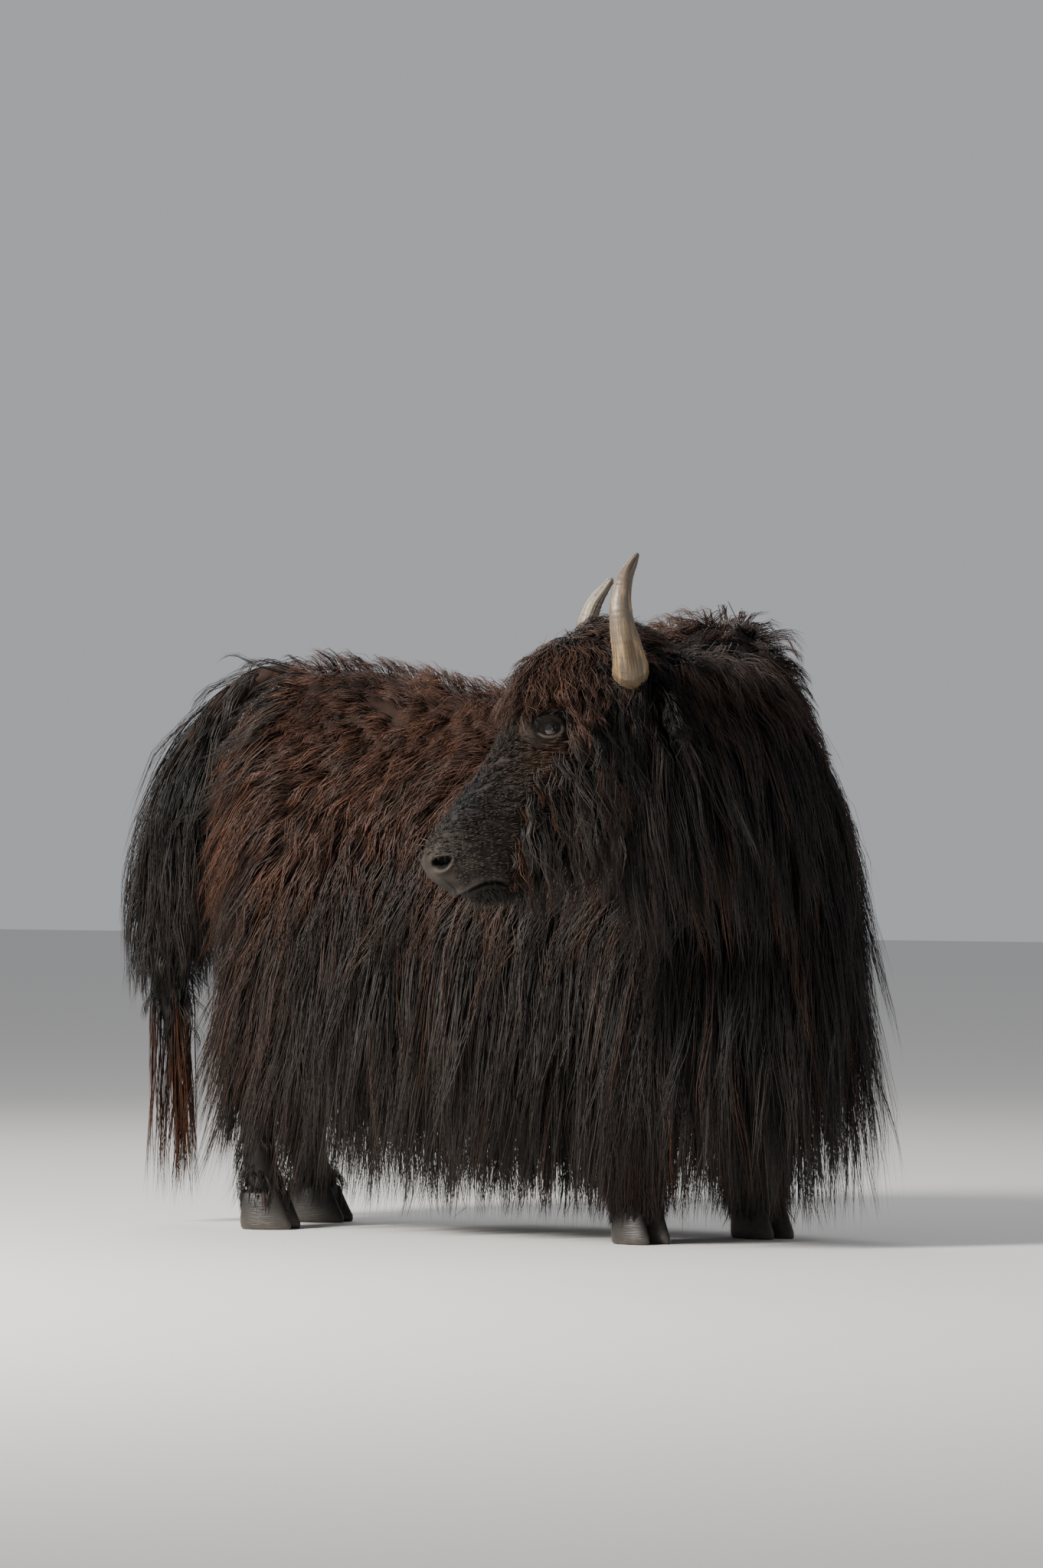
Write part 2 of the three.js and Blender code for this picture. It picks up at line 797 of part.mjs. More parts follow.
// Head locks: the forelock, fanned from the crown down over the brow, and the locks of the cheeks and throat
function headLocks() {
  const vary = seeded(43);
  const locks = [];
  for (const [root, length, spread, count] of [
    [20, 130, 78, 4],
    [100, 135, 84, 5],
    [170, 105, 62, 4],
  ])
    for (let i = 0; i < count; i++) {
      const left = spread * ((2 * i) / (count - 1) - 1) + 6 * vary();
      const [long, curl] = [length + 16 * vary(), 12 * vary()];
      const at = (t) => {
        const along = root + 8 * vary() * (t > 0 ? 1 : 0) + long * t;
        const aside = left * (1 + 0.18 * t) + curl * Math.sin(Math.PI * t);
        return onFace(along, aside, crown(along, aside) - 10 + 24 * t ** 0.7);
      };
      const bearing = () => onFace(0, left / 160, 1).sub(onFace(0, 0, 0));
      locks.push({ ...pathOf(at, bearing), width: 54, thick: 15 });
    }
  for (const side of [1, -1])
    for (let i = 0; i < 6; i++) {
      const along = -10 + 52 * i + 8 * vary();
      const [, bottom] = headSection(along);
      const up = bottom + 44 + 10 * vary();
      const [drop, drift] = [150 - 14 * i + 30 * vary(), 14 * vary()];
      const start = onFace(along, side * (cheek(along, up) - 12), up);
      const out = onHead(0, side, 0).sub(onHead(0, 0, 0));
      const at = (t) =>
        start
          .clone()
          .addScaledVector(out, 16 * t ** 0.6 - 10 * t * t)
          .addScaledVector(headTurn.ahead, drift * t)
          .addScaledVector(UP, -drop * t);
      locks.push({ ...pathOf(at, () => out), width: 58, thick: 16 });
    }
  return locks;
}

// Tail locks, hung round its core, the lowest drawn together. The brush goes on below the core, by level:
// distance along the back, radius across, radius fore and aft
const BRUSH = [
  ...TAIL.slice(3, -1).map(([s, level, ...radii]) => [level, s, ...radii]),
  [220, -258, 26, 24],
  [40, -256, 6, 6],
];
const brush = profile(BRUSH);

function tailLocks() {
  const vary = seeded(57);
  const locks = [];
  for (const [from, to, count] of [
    [1010, 640, 5],
    [780, 380, 6],
    [560, 130, 5],
    [430, 50, 3],
  ])
    for (let i = 0; i < count; i++) {
      const turn = (2 * Math.PI * (i + 0.5 + 0.15 * vary())) / count;
      const [low, stand] = [to + 45 * vary(), 24 + 8 * vary()];
      const at = (t) => {
        const level = THREE.MathUtils.lerp(from, Math.max(low, 30), t);
        const [s, wide, long] = brush(level);
        const out = -12 + (stand + 12) * t ** 0.6;
        return beside(back, s + (long + out) * Math.cos(turn), (wide + out) * Math.sin(turn), level);
      };
      const { ahead, left } = back(-200);
      const out = ahead.multiplyScalar(Math.cos(turn)).addScaledVector(left, Math.sin(turn));
      locks.push({ ...pathOf(at, () => out), width: 78, thick: 20 });
    }
  return locks;
}

// Leg locks, in tiers: roots, tips, angles round the leg in degrees, how far they stand out
const FORE_LOCKS = [[225, 95, [70, 160, 250], 15]];
const HIND_LOCKS = [
  [640, 400, [100, 150, 200], 26],
  [450, 220, [120, 170, 215], 30],
];

function legLocks(rows, side, tiers) {
  const vary = seeded(31 + side);
  const at = profile(rows);
  const locks = [];
  for (const [from, to, turns, flare] of tiers)
    for (const degrees of turns) {
      const turn = degToRad(degrees + 8 * vary());
      const [low, wide] = [to + 30 * vary(), flare * (1 + 0.2 * vary())];
      const place = (t) => {
        const level = THREE.MathUtils.lerp(from, low, t);
        const [s, middle, long, half] = at(Math.max(level, to));
        const out = -12 + (wide + 12) * t ** 0.8;
        const left = side * (middle + (half + out) * Math.sin(turn));
        return beside(back, s + (long + out) * Math.cos(turn), left, level);
      };
      const { ahead, left } = back(rows[0][1]);
      const out = ahead.multiplyScalar(Math.cos(turn)).addScaledVector(left, side * Math.sin(turn));
      locks.push({ ...pathOf(place, () => out), width: 56, thick: 17 });
    }
  return locks;
}

// Assembly
const yak = new THREE.Group();
const COLOURS = {
  coat: new THREE.MeshStandardMaterial({ color: 0x1d1513, roughness: 0.75 }),
  horn: new THREE.MeshStandardMaterial({ color: 0x9a8a68, roughness: 0.45 }),
  hoof: new THREE.MeshStandardMaterial({ color: 0x1f1c1a, roughness: 0.5 }),
  eye: new THREE.MeshStandardMaterial({ color: 0x120c09, roughness: 0.1 }),
};

function addNode(name, solid, material) {
  const { numProp, numVert, vertProperties, triVerts } = largest(solid).getMesh();
  const corners = new Float32Array(numVert * 3);
  for (let i = 0; i < numVert; i++)
    corners.set(vertProperties.subarray(i * numProp, i * numProp + 3), i * 3);
  const geometry = new THREE.BufferGeometry()
    .setAttribute("position", new THREE.BufferAttribute(corners, 3))
    .setIndex(new THREE.BufferAttribute(triVerts, 1));
  const mesh = new THREE.Mesh(geometry, material);
  mesh.name = name;
  yak.add(mesh);
}

const SIDES = { left: 1, right: -1 };
const LEGS = { fore: [FORE_LEG, FORE_LOCKS], hind: [HIND_LEG, HIND_LOCKS] };

const cores = {};
for (const [name, shape] of Object.entries({ torso, head, neck, tail })) cores[name] = shape(GAP);
for (const [name, side] of Object.entries(SIDES)) {
  cores[`eye_${name}`] = eye(side, GAP);
  cores[`horn_${name}`] = horn(side, GAP);
  cores[`ear_${name}`] = ear(side, GAP);
  for (const [end, [rows]] of Object.entries(LEGS)) {
    cores[`leg_${end}_${name}`] = leg(rows, side, GAP);
    cores[`hoof_${end}_${name}`] = hoof(rows, side);
  }
}

// Adds a node: its core clear of the cores given, and its locks clear of every other core and the locks laid
// under them.
const laid = {};

function place(name, core, clear, locks, under, material) {
  const body = clear.reduce((solid, other) => solid.subtract(cores[other]), core);
  if (locks.length === 0) {
    addNode(name, body, material);
    return;
  }
  laid[name] = lockSolids(locks, GAP);
  const others = Object.keys(cores).filter((other) => other !== name);
  const cut = [...others.map((other) => cores[other]), ...under.map((other) => laid[other])];
  addNode(name, body.add(lockSolids(locks, 0).subtract(wasm.Manifold.union(cut))), material);
}

const lips = [mouthBand(8, 2, [7, 7], 5), mouthBand(-8, 2, [7, 7], 5)];
let face = joined([head(0), ...lips]).subtract(mouthBand(0, 0, [11, 3], 4));
for (const side of Object.values(SIDES)) {
  const dug = face.subtract(nostril(side, NOSTRIL.radii));
  face = joined([dug.subtract(lidOpening(side)), lid(side, 1), lid(side, -1)]).subtract(eye(side, GAP));
}
place("head", face, ["torso"], headLocks(), [], COLOURS.coat);
place("neck", neck(0), ["torso", "head"], neckLocks(), ["head"], COLOURS.coat);
place("torso", torso(0), [], torsoLocks(), ["head", "neck"], COLOURS.coat);
place("tail", tail(0), ["torso"], tailLocks(), ["torso"], COLOURS.coat);
for (const [name, side] of Object.entries(SIDES)) {
  place(`eye_${name}`, eye(side, 0), [], [], [], COLOURS.eye);
  place(`horn_${name}`, horn(side, 0), ["head", "neck"], [], [], COLOURS.horn);
  place(`ear_${name}`, ear(side, 0), ["head", "neck", `horn_${name}`], [], [], COLOURS.coat);
  for (const [end, [rows, tiers]] of Object.entries(LEGS)) {
    const [core, feathers, near] = [leg(rows, side, 0), legLocks(rows, side, tiers), ["torso", "tail"]];
    place(`leg_${end}_${name}`, core, near, feathers, near, COLOURS.coat);
    place(`hoof_${end}_${name}`, hoof(rows, side), [], [], [], COLOURS.hoof);
  }
}

const bounds = new THREE.Box3().setFromObject(yak);
const middle = bounds.getCenter(new THREE.Vector3());
yak.position.set(-middle.x, -middle.y, -bounds.min.z);

export default yak;
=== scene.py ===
"""A domestic yak in its long coat, looking back over its right shoulder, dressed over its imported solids."""

import math

import bpy
import numpy as np
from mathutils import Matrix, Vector
from mathutils.bvhtree import BVHTree

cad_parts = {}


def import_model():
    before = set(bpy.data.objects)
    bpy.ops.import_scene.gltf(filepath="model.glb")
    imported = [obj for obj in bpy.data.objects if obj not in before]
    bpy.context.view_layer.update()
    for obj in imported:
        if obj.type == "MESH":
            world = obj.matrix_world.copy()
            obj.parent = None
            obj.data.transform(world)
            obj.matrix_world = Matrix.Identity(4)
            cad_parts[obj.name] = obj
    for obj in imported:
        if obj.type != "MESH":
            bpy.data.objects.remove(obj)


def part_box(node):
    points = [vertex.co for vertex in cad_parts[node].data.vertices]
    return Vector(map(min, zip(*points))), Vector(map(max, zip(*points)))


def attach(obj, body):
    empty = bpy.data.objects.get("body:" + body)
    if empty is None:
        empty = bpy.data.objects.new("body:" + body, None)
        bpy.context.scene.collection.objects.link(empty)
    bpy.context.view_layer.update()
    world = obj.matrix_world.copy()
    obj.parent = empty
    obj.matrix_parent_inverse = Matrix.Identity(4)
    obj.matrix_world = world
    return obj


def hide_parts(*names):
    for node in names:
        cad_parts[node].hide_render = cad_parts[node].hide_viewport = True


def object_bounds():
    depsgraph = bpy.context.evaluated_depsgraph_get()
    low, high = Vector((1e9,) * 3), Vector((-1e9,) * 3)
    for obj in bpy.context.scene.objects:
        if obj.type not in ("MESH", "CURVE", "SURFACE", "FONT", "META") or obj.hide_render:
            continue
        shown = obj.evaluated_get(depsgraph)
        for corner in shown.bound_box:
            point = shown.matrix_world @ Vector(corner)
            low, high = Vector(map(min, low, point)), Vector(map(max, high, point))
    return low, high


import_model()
CAD_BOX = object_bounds()

MM = 0.001
UP = np.array([0.0, 0.0, 1.0])
DOWN = -UP

# The same named sizes as the solids, in millimetres
HUMP = 1130
HEAD_LEVEL = 1177
HEAD_PITCH = 50.5
HEAD_ROLL = 5
HEAD_PLACE = 1653
EYE = {"along": 206, "up": 50, "out": 88, "radius": 24}
OPENING = {"long": 22, "tall": 15}
NOSTRIL = {"along": 545, "up": 45, "long": 20, "wide": 13.5}
WORN_HORN = {"tall": 0.93, "back": 0.06, "tip": 9}
HUMP_FORM = {"s": HUMP - 20, "level": 1178, "radii": (205, 110, 120)}

# Headings along the back and the neck, in degrees turned right from -Y, by distance from the tail root
TRUNK_HEADING = [(-300, -17), (0, -17), (560, 0), (1150, 17), (1500, 24)]
NECK_HEADING = [(1000, 12), (1150, 24), (1290, 60), (1410, 92), (1540, 118), (1670, 133), (1800, 133)]

# Trunk sections: distance, top, bottom, half width, widest level, power of the top
TRUNK = [
    (-140, 895, 790, 18, 850, 1),
    (-132, 945, 750, 55, 850, 1),
    (-103, 1042, 640, 116, 820, 1),
    (-55, 1144, 530, 186, 780, 0.95),
    (20, 1210, 450, 238, 750, 0.95),
    (120, 1231, 400, 272, 710, 1),
    (300, 1210, 360, 302, 660, 1.08),
    (500, 1167, 340, 322, 620, 1.12),
    (700, 1141, 335, 322, 590, 1.15),
    (850, 1155, 340, 303, 560, 1.2),
    (1000, 1220, 355, 278, 540, 1.35),
    (HUMP, 1256, 375, 256, 520, 1.5),
    (1220, 1240, 400, 240, 530, 1.45),
    (1320, 1158, 410, 208, 560, 1.3),
    (1390, 1046, 430, 165, 600, 1.1),
    (1440, 920, 490, 110, 660, 1),
    (1466, 820, 570, 52, 700, 1),
    (1474, 750, 630, 20, 700, 1),
]
NECK = [
    (1040, 1186, 720, 138, 950, 1.1),
    (1170, 1214, 705, 166, 940, 1.1),
    (1300, 1220, 700, 168, 940, 1.1),
    (1420, 1222, 705, 157, 945, 1.1),
    (1530, 1228, 725, 138, 970, 1.1),
    (1610, 1230, 790, 118, 1025, 1),
    (1660, 1215, 870, 94, 1060, 1),
]
# Head sections in the face's frame: along it, top, bottom, half width, widest level, power of the top
HEAD = [
    (-80, 30, -80, 50, -20, 1),
    (-60, 75, -120, 78, -20, 1),
    (-15, 112, -150, 96, -15, 0.9),
    (45, 128, -165, 104, -5, 0.85),
    (110, 126, -162, 108, 15, 0.8),
    (170, 116, -154, 108, 28, 0.75),
    (220, 108, -147, 100, 22, 0.75),
    (285, 102, -138, 80, 8, 0.8),
    (350, 97, -130, 68, -5, 0.8),
    (410, 94, -124, 62, -12, 0.8),
    (460, 92, -118, 60, -10, 0.75),
    (500, 89, -106, 62, 0, 0.7),
    (535, 85, -78, 61, 10, 0.7),
    (558, 74, -44, 51, 14, 0.75),
    (569, 50, -16, 34, 16, 0.85),
]
MOUTH = [(566, -28), (545, -35), (522, -47), (506, -62), (496, -80)]
# Leg sections: level, distance along the back, distance from the middle, half length, half width
FORE_LEG = [
    (800, 1120, 150, 110, 70),
    (640, 1090, 160, 92, 66),
    (520, 1070, 165, 70, 56),
    (400, 1060, 166, 56, 48),
    (330, 1062, 166, 54, 48),
    (250, 1056, 166, 44, 42),
    (150, 1052, 166, 42, 42),
    (110, 1055, 166, 47, 47),
    (72, 1066, 166, 50, 50),
]
HIND_LEG = [
    (900, 150, 130, 140, 80),
    (760, 130, 145, 135, 80),
    (620, 80, 150, 105, 70),
    (500, 20, 152, 74, 54),
    (410, -28, 152, 58, 44),
    (320, -30, 152, 46, 42),
    (150, -22, 152, 42, 42),
    (110, -14, 152, 47, 47),
    (72, -2, 152, 50, 50),
]
# Tail, from the root down: distance along the back, level, radius across, radius fore and aft
TAIL = [
    (60, 1168, 40, 30),
    (-40, 1188, 54, 38),
    (-132, 1140, 72, 52),
    (-212, 1030, 92, 70),
    (-260, 880, 104, 84),
    (-282, 700, 98, 86),
    (-282, 540, 72, 64),
    (-270, 400, 34, 34),
    (-262, 330, 12, 12),
]
# Horn, from the root out: outwards, ahead, up, radius
HORN = [
    (60, 0, -16, 34),
    (104, 2, -16, 37),
    (137, 8, -4, 37),
    (160, 20, 32, 32),
    (172, 32, 80, 26),
    (172, 33, 126, 22),
    (163, 22, 170, 17),
    (151, 2, 205, 10.5),
    (146, -10, 224, 4),
]
# Ear, from the root out: outwards, ahead, up, half width
EAR = [
    (70, -26, -34, 20),
    (100, -46, -52, 29),
    (130, -62, -76, 35),
    (148, -74, -106, 30),
    (158, -84, -136, 11),
]


def unit(v):
    return v / np.maximum(np.linalg.norm(v, axis=-1, keepdims=True), 1e-9)


def hill(*offsets):
    """1 in the middle, fading as the offsets from it grow past 1."""
    return np.exp(-sum(offset**2 for offset in offsets))


def smooth(value, low, high):
    """0 below low, 1 above high and a soft step between."""
    t = np.clip((np.asarray(value, float) - low) / (high - low), 0, 1)
    return t * t * (3 - 2 * t)


def profile(rows):
    """A smooth curve through rows of (position, value, ...), as a function of an array of positions."""
    rows = np.array(sorted(rows), float)
    place, values = rows[:, 0], rows[:, 1:]
    order = np.arange(len(rows))
    after, before = np.minimum(order + 1, len(rows) - 1), np.maximum(order - 1, 0)
    slope = (values[after] - values[before]) / (place[after] - place[before])[:, None]

    def at(position):
        position = np.clip(np.asarray(position, float), place[0], place[-1])
        i = np.clip(np.searchsorted(place, position, side="right") - 1, 0, len(place) - 2)
        span = (place[i + 1] - place[i])[..., None]
        t = (position - place[i])[..., None] / span
        low, rise = values[i], values[i + 1] - values[i]
        a, b = slope[i] * span, slope[i + 1] * span
        return low + t * (a + t * (3 * rise - 2 * a - b + t * (a + b - 2 * rise)))

    return at


def by_index(rows):
    """The same curve, by how far along the list of rows it is, from 0 to 1."""
    return profile([(i / (len(rows) - 1), *row) for i, row in enumerate(rows)])


class Line:
    """A level line traced from a start point by its heading, in millimetres."""

    STEP = 10

    def __init__(self, headings, start):
        heading = profile(headings)
        self.first = headings[0][0]
        self.s = np.arange(self.first, headings[-1][0] + self.STEP, self.STEP, dtype=float)
        turn = np.radians(heading(self.s[:-1] + self.STEP / 2)[:, 0])
        steps = np.stack([-np.sin(turn), -np.cos(turn)], -1) * self.STEP
        self.points = np.concatenate([[start], start + np.cumsum(steps, 0)])
        self.heading = heading

    def ahead(self, s):
        turn = np.radians(self.heading(s)[..., 0])
        return np.stack([-np.sin(turn), -np.cos(turn), np.zeros_like(turn)], -1)

    def left(self, s):
        return np.cross(UP, self.ahead(s))

    def point(self, s):
        x = np.interp(s, self.s, self.points[:, 0])
        y = np.interp(s, self.s, self.points[:, 1])
        return np.stack([x, y, np.zeros_like(x)], -1)

    def beside(self, s, left, level):
        s, left, level = np.broadcast_arrays(np.asarray(s, float), left, level)
        return self.point(s) + self.left(s) * left[..., None] + UP * level[..., None]

    def locate(self, p):
        """The distance along the line of each place, and how far it is to the left."""
        flat = np.asarray(p)[:, None, :2] - self.points[None]
        i = np.argmin((flat**2).sum(-1), axis=1)
        s = self.s[i]
        near = np.take_along_axis(flat, i[:, None, None], 1)[:, 0]
        offset = np.concatenate([near, np.zeros((len(i), 1))], 1)
        return s + (offset * self.ahead(s)).sum(-1), (offset * self.left(s)).sum(-1)


back = Line(TRUNK_HEADING, np.zeros(2))
nape = Line(NECK_HEADING, back.point(NECK_HEADING[0][0])[:2])

# The head's frame: along the face, left, and up from the face
HEAD_AHEAD = nape.ahead(HEAD_PLACE)
HEAD_ORIGIN = nape.point(HEAD_PLACE) + UP * HEAD_LEVEL
ROLL, PITCH = math.radians(HEAD_ROLL), math.radians(HEAD_PITCH)
LEVEL_AXES = np.stack([HEAD_AHEAD, np.cross(UP, HEAD_AHEAD), UP], -1) @ np.array(
    [[1, 0, 0], [0, math.cos(ROLL), -math.sin(ROLL)], [0, math.sin(ROLL), math.cos(ROLL)]]
)
FACE_AXES = LEVEL_AXES @ np.array(
    [[math.cos(PITCH), 0, math.sin(PITCH)], [0, 1, 0], [-math.sin(PITCH), 0, math.cos(PITCH)]]
)


def stack(*parts):
    return np.stack(np.broadcast_arrays(*[np.asarray(part, float) for part in parts]), -1)


def on_head(ahead, left, up):
    return HEAD_ORIGIN + stack(ahead, left, up) @ LEVEL_AXES.T


def on_face(along, left, up):
    return HEAD_ORIGIN + stack(along, left, up) @ FACE_AXES.T


def in_face(p):
    """How far along, left of and up from the face places are."""
    return ((p - HEAD_ORIGIN) @ FACE_AXES).T


# The shared frame's origin, found from the left eye's solid
low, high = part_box("eye_left")
SHIFT = np.array((Vector(low) + Vector(high)) / 2) - on_face(EYE["along"], EYE["out"], EYE["up"]) * MM


def world(p):
    return p * MM + SHIFT


def local(p):
    return (p - SHIFT) / MM


# Forms of the flesh
def round_turns(sides):
    """Turns evenly round a ring."""
    return np.arange(sides) * 2 * math.pi / sides


def ring_quads(rings, sides):
    """Faces between rings of corners that follow each other."""
    r, i = np.meshgrid(np.arange(rings - 1), np.arange(sides), indexing="ij")
    a, b = (r * sides + i).ravel(), (r * sides + (i + 1) % sides).ravel()
    return np.stack([a, b, b + sides, a + sides], -1)


def tube_faces(rings, sides):
    """Faces of a closed tube, with a corner for each end after the corners of its rings."""
    i, count, base = np.arange(sides), rings * sides, (rings - 1) * sides
    first = np.stack([(i + 1) % sides, i, np.full(sides, count)], -1)
    last = np.stack([base + i, base + (i + 1) % sides, np.full(sides, count + 1)], -1)
    return ring_quads(rings, sides), np.concatenate([first, last])


def capped(rings):
    """A closed sheet through rings of points."""
    corners = np.concatenate([*rings, [rings[0].mean(0)], [rings[-1].mean(0)]])
    return corners, *tube_faces(len(rings), len(rings[0]))


def section_point(section, turn, grow):
    """Across and up of a point round a section that closes in above its widest level by a power."""
    top, bottom, half, wide, power = [section[..., i] for i in range(5)]
    across, up = np.cos(turn), np.sin(turn)
    reach = np.maximum(half + grow, 4) * np.abs(across) ** np.where(up > 0, power, 1)
    rise = np.where(up > 0, top - wide + grow, wide - bottom + grow)
    return np.sign(across) * reach, wide + np.maximum(rise, 4) * up


class Form:
    """A closed form in millimetres, swept along u from low to high and round by turn."""

    def __init__(self, place, low, high, atlas):
        self.place, self.low, self.high, self.atlas = place, low, high, atlas

    def normal(self, u, turn):
        du, dt = (self.high - self.low) * 2e-3, 0.01
        after, before = np.minimum(u + du, self.high), np.maximum(u - du, self.low)
        along = self.place(after, turn) - self.place(before, turn)
        across = self.place(u, turn + dt) - self.place(u, turn - dt)
        crossed = np.cross(along, across)
        middle = (self.place(u, turn) + self.place(u, turn + math.pi)) / 2
        outward = self.place(u, turn) - middle
        sign = np.sign((crossed * outward).sum(-1, keepdims=True))
        area = np.linalg.norm(crossed, axis=-1)
        return unit(crossed) * np.where(sign == 0, 1, sign), area

    def mesh(self, rings, sides):
        u = np.repeat(np.linspace(self.low, self.high, rings), sides)
        turn = np.tile(round_turns(sides), rings)
        return capped(self.place(u, turn).reshape(rings, sides, 3))

    def unwrap(self, u, turn):
        x0, y0, x1, y1 = self.atlas
        x = x0 + (x1 - x0) * (u - self.low) / (self.high - self.low)
        return np.stack([x, y0 + (y1 - y0) * np.mod(turn / (2 * math.pi), 1)], -1)


trunk_section, neck_section, head_section = profile(TRUNK), profile(NECK), profile(HEAD)
# How far the flesh lies under the solids, in millimetres, and the tail's share of its brush
TRUNK_FLESH = -34
NECK_FLESH = -26
LEG_FLESH = -4
TAIL_FLESH = 0.62


def trunk_place(s, turn):
    left, level = section_point(trunk_section(s), turn, TRUNK_FLESH)
    drawn_in = np.interp(s, [-140, 100, 1300, 1474], [-TRUNK_FLESH, 0, 0, TRUNK_FLESH])
    return back.beside(s + drawn_in, left, level)


def neck_place(s, turn):
    left, level = section_point(neck_section(s), turn, NECK_FLESH)
    return nape.beside(s, left, level)


def hump_place(u, turn):
    a, b, c = [r + NECK_FLESH for r in HUMP_FORM["radii"]]
    s = HUMP_FORM["s"]
    x, ring = -np.cos(u), np.sin(u)
    at = back.point(s) + UP * HUMP_FORM["level"]
    ahead, left = back.ahead(s), back.left(s)
    return (
        at
        + (a * x)[..., None] * ahead
        + (b * ring * np.cos(turn))[..., None] * left
        + (c * ring * np.sin(turn))[..., None] * UP
    )


def leg_form(rows, side, atlas):
    at = profile(rows)

    def place(level, turn):
        s, middle, long, wide = [at(level)[..., i] for i in range(4)]
        left = side * middle + (wide + LEG_FLESH) * np.sin(turn)
        return back.beside(s + (long + LEG_FLESH) * np.cos(turn), left, level)

    return Form(place, rows[-1][0], rows[0][0], atlas)


def tube_form(points, radii, sideways, atlas):
    """A tube through points (a function of u from 0 to 1), with a radius each way across."""

    def place(u, turn):
        at = points(u)
        ahead = unit(points(np.minimum(u + 0.01, 1)) - points(np.maximum(u - 0.01, 0)))
        across = unit(np.cross(ahead, sideways))
        up = np.cross(across, ahead)
        wide, tall = radii(u)
        return at + (wide * np.cos(turn))[..., None] * across + (tall * np.sin(turn))[..., None] * up

    return Form(place, 0.0, 1.0, atlas)


tail_rows = by_index(TAIL)
tail_form = tube_form(
    lambda u: back.beside(tail_rows(u)[..., 0], 0, tail_rows(u)[..., 1]),
    lambda u: (tail_rows(u)[..., 3] * TAIL_FLESH, tail_rows(u)[..., 2] * TAIL_FLESH),
    back.left(-100.0),
    (0.55, 0.5, 0.75, 0.75),
)


def horn_line(side):
    rows = by_index(HORN)
    worn = WORN_HORN if side < 0 else {"tall": 1, "back": 0, "tip": 4}

    def point(u):
        out, ahead, up, _ = [rows(u)[..., i] for i in range(4)]
        return on_head(ahead - worn["back"] * up, side * out, up * worn["tall"])

    def radius(u):
        r = np.maximum(rows(u)[..., 3], worn["tip"])
        # The worn tip is blunt, the other runs to a point
        end = (1 - u) / 0.05 if side < 0 else (1.004 - u) / 0.02
        return r * np.sqrt(np.clip(end, 0, 1))

    return point, radius


def ear_form(side, atlas):
    rows = by_index(EAR)
    return tube_form(
        lambda u: on_head(rows(u)[..., 1], side * rows(u)[..., 0], rows(u)[..., 2]),
        lambda u: (rows(u)[..., 3] - 3, np.full_like(u, 8.0)),
        HEAD_AHEAD,
        atlas,
    )


# Camera, level with the animal's flank and far away, framed on the right hind hoof
scene = bpy.context.scene
TURN, RISE, FOCAL, WIDTH, HEIGHT = -54.0, 0.148, 10064.0, 1362, 2048
DISTANCE, LEVEL, HOOF_PIXEL = 16.0, 0.909, 353
right = np.array([math.cos(math.radians(TURN)), math.sin(math.radians(TURN)), 0])
toward = np.array([math.sin(math.radians(TURN)), -math.cos(math.radians(TURN)), 0])
hump_top = world(back.point(HUMP_FORM["s"]))
low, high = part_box("hoof_hind_right")
hoof = (np.array(low) + np.array(high)) / 2
depth = DISTANCE - (hoof - hump_top) @ toward
across = hoof @ right - (HOOF_PIXEL - WIDTH / 2) * depth / FOCAL
spot = right * across + toward * (hump_top @ toward + DISTANCE)
lens = bpy.data.cameras.new("camera")
lens.lens = FOCAL / HEIGHT * lens.sensor_width
lens.clip_end = 60
camera = bpy.data.objects.new("camera", lens)
camera.location = (*spot[:2], LEVEL)
camera.rotation_euler = (math.radians(90 + RISE), 0, math.radians(TURN))
scene.collection.objects.link(camera)
scene.camera = camera


# Shader tools
def new_material(name):
    material = bpy.data.materials.new(name)
    material.use_nodes = True
    tree = material.node_tree
    shader = tree.nodes["Principled BSDF"]
    return material, tree, shader


def node(tree, kind, inputs=None, **settings):
    made = tree.nodes.new(kind)
    for key, value in settings.items():
        setattr(made, key, value)
    for key, value in (inputs or {}).items():
        if isinstance(value, bpy.types.NodeSocket):
            tree.links.new(value, made.inputs[key])
        else:
            made.inputs[key].default_value = value
    return made


def ramp(tree, value, stops):
    made = node(tree, "ShaderNodeValToRGB", {0: value})
    points = made.color_ramp.elements
    while len(points) < len(stops):
        points.new(0.5)
    for point, (place, colour) in zip(points, stops):
        point.position = place
        point.color = (*colour, 1)
    return made.outputs["Color"]


def mixed(tree, kind, factor, first, second):
    made = node(tree, "ShaderNodeMix", data_type="RGBA", blend_type=kind)
    for key, value in ((0, factor), (6, first), (7, second)):
        if isinstance(value, bpy.types.NodeSocket):
            tree.links.new(value, made.inputs[key])
        elif key == 0:
            made.inputs[0].default_value = value
        else:
            made.inputs[key].default_value = (*value, 1)
    return made.outputs[2]


def noise(tree, vector, scale, detail=3.0, **more):
    made = node(tree, "ShaderNodeTexNoise", {"Vector": vector, "Scale": scale, "Detail": detail}, **more)
    return made.outputs[0]


def attribute(tree, name):
    return node(tree, "ShaderNodeAttribute", attribute_name=name)


def stretched(tree, vector, scale):
    return node(tree, "ShaderNodeMapping", {"Vector": vector, "Scale": scale}).outputs[0]


def bump(tree, height, strength, distance, over=None):
    given = {"Height": height, "Strength": strength, "Distance": distance}
    if over:
        given["Normal"] = over
    return node(tree, "ShaderNodeBump", given).outputs[0]


def set_plain(shader, **values):
    """Values that are the same all over a material, by the shader's own sockets."""
    for name, value in values.items():
        shader.inputs[name.replace("_", " ")].default_value = value


# Effects that several materials share
def new_group(name, given):
    """A node group with an input for each name, kind and value given, and its first and last nodes."""
    tree = bpy.data.node_groups.new(name, "ShaderNodeTree")
    for title, kind, value in given:
        tree.interface.new_socket(title, in_out="INPUT", socket_type=kind).default_value = value
    return tree, node(tree, "NodeGroupInput").outputs, node(tree, "NodeGroupOutput")


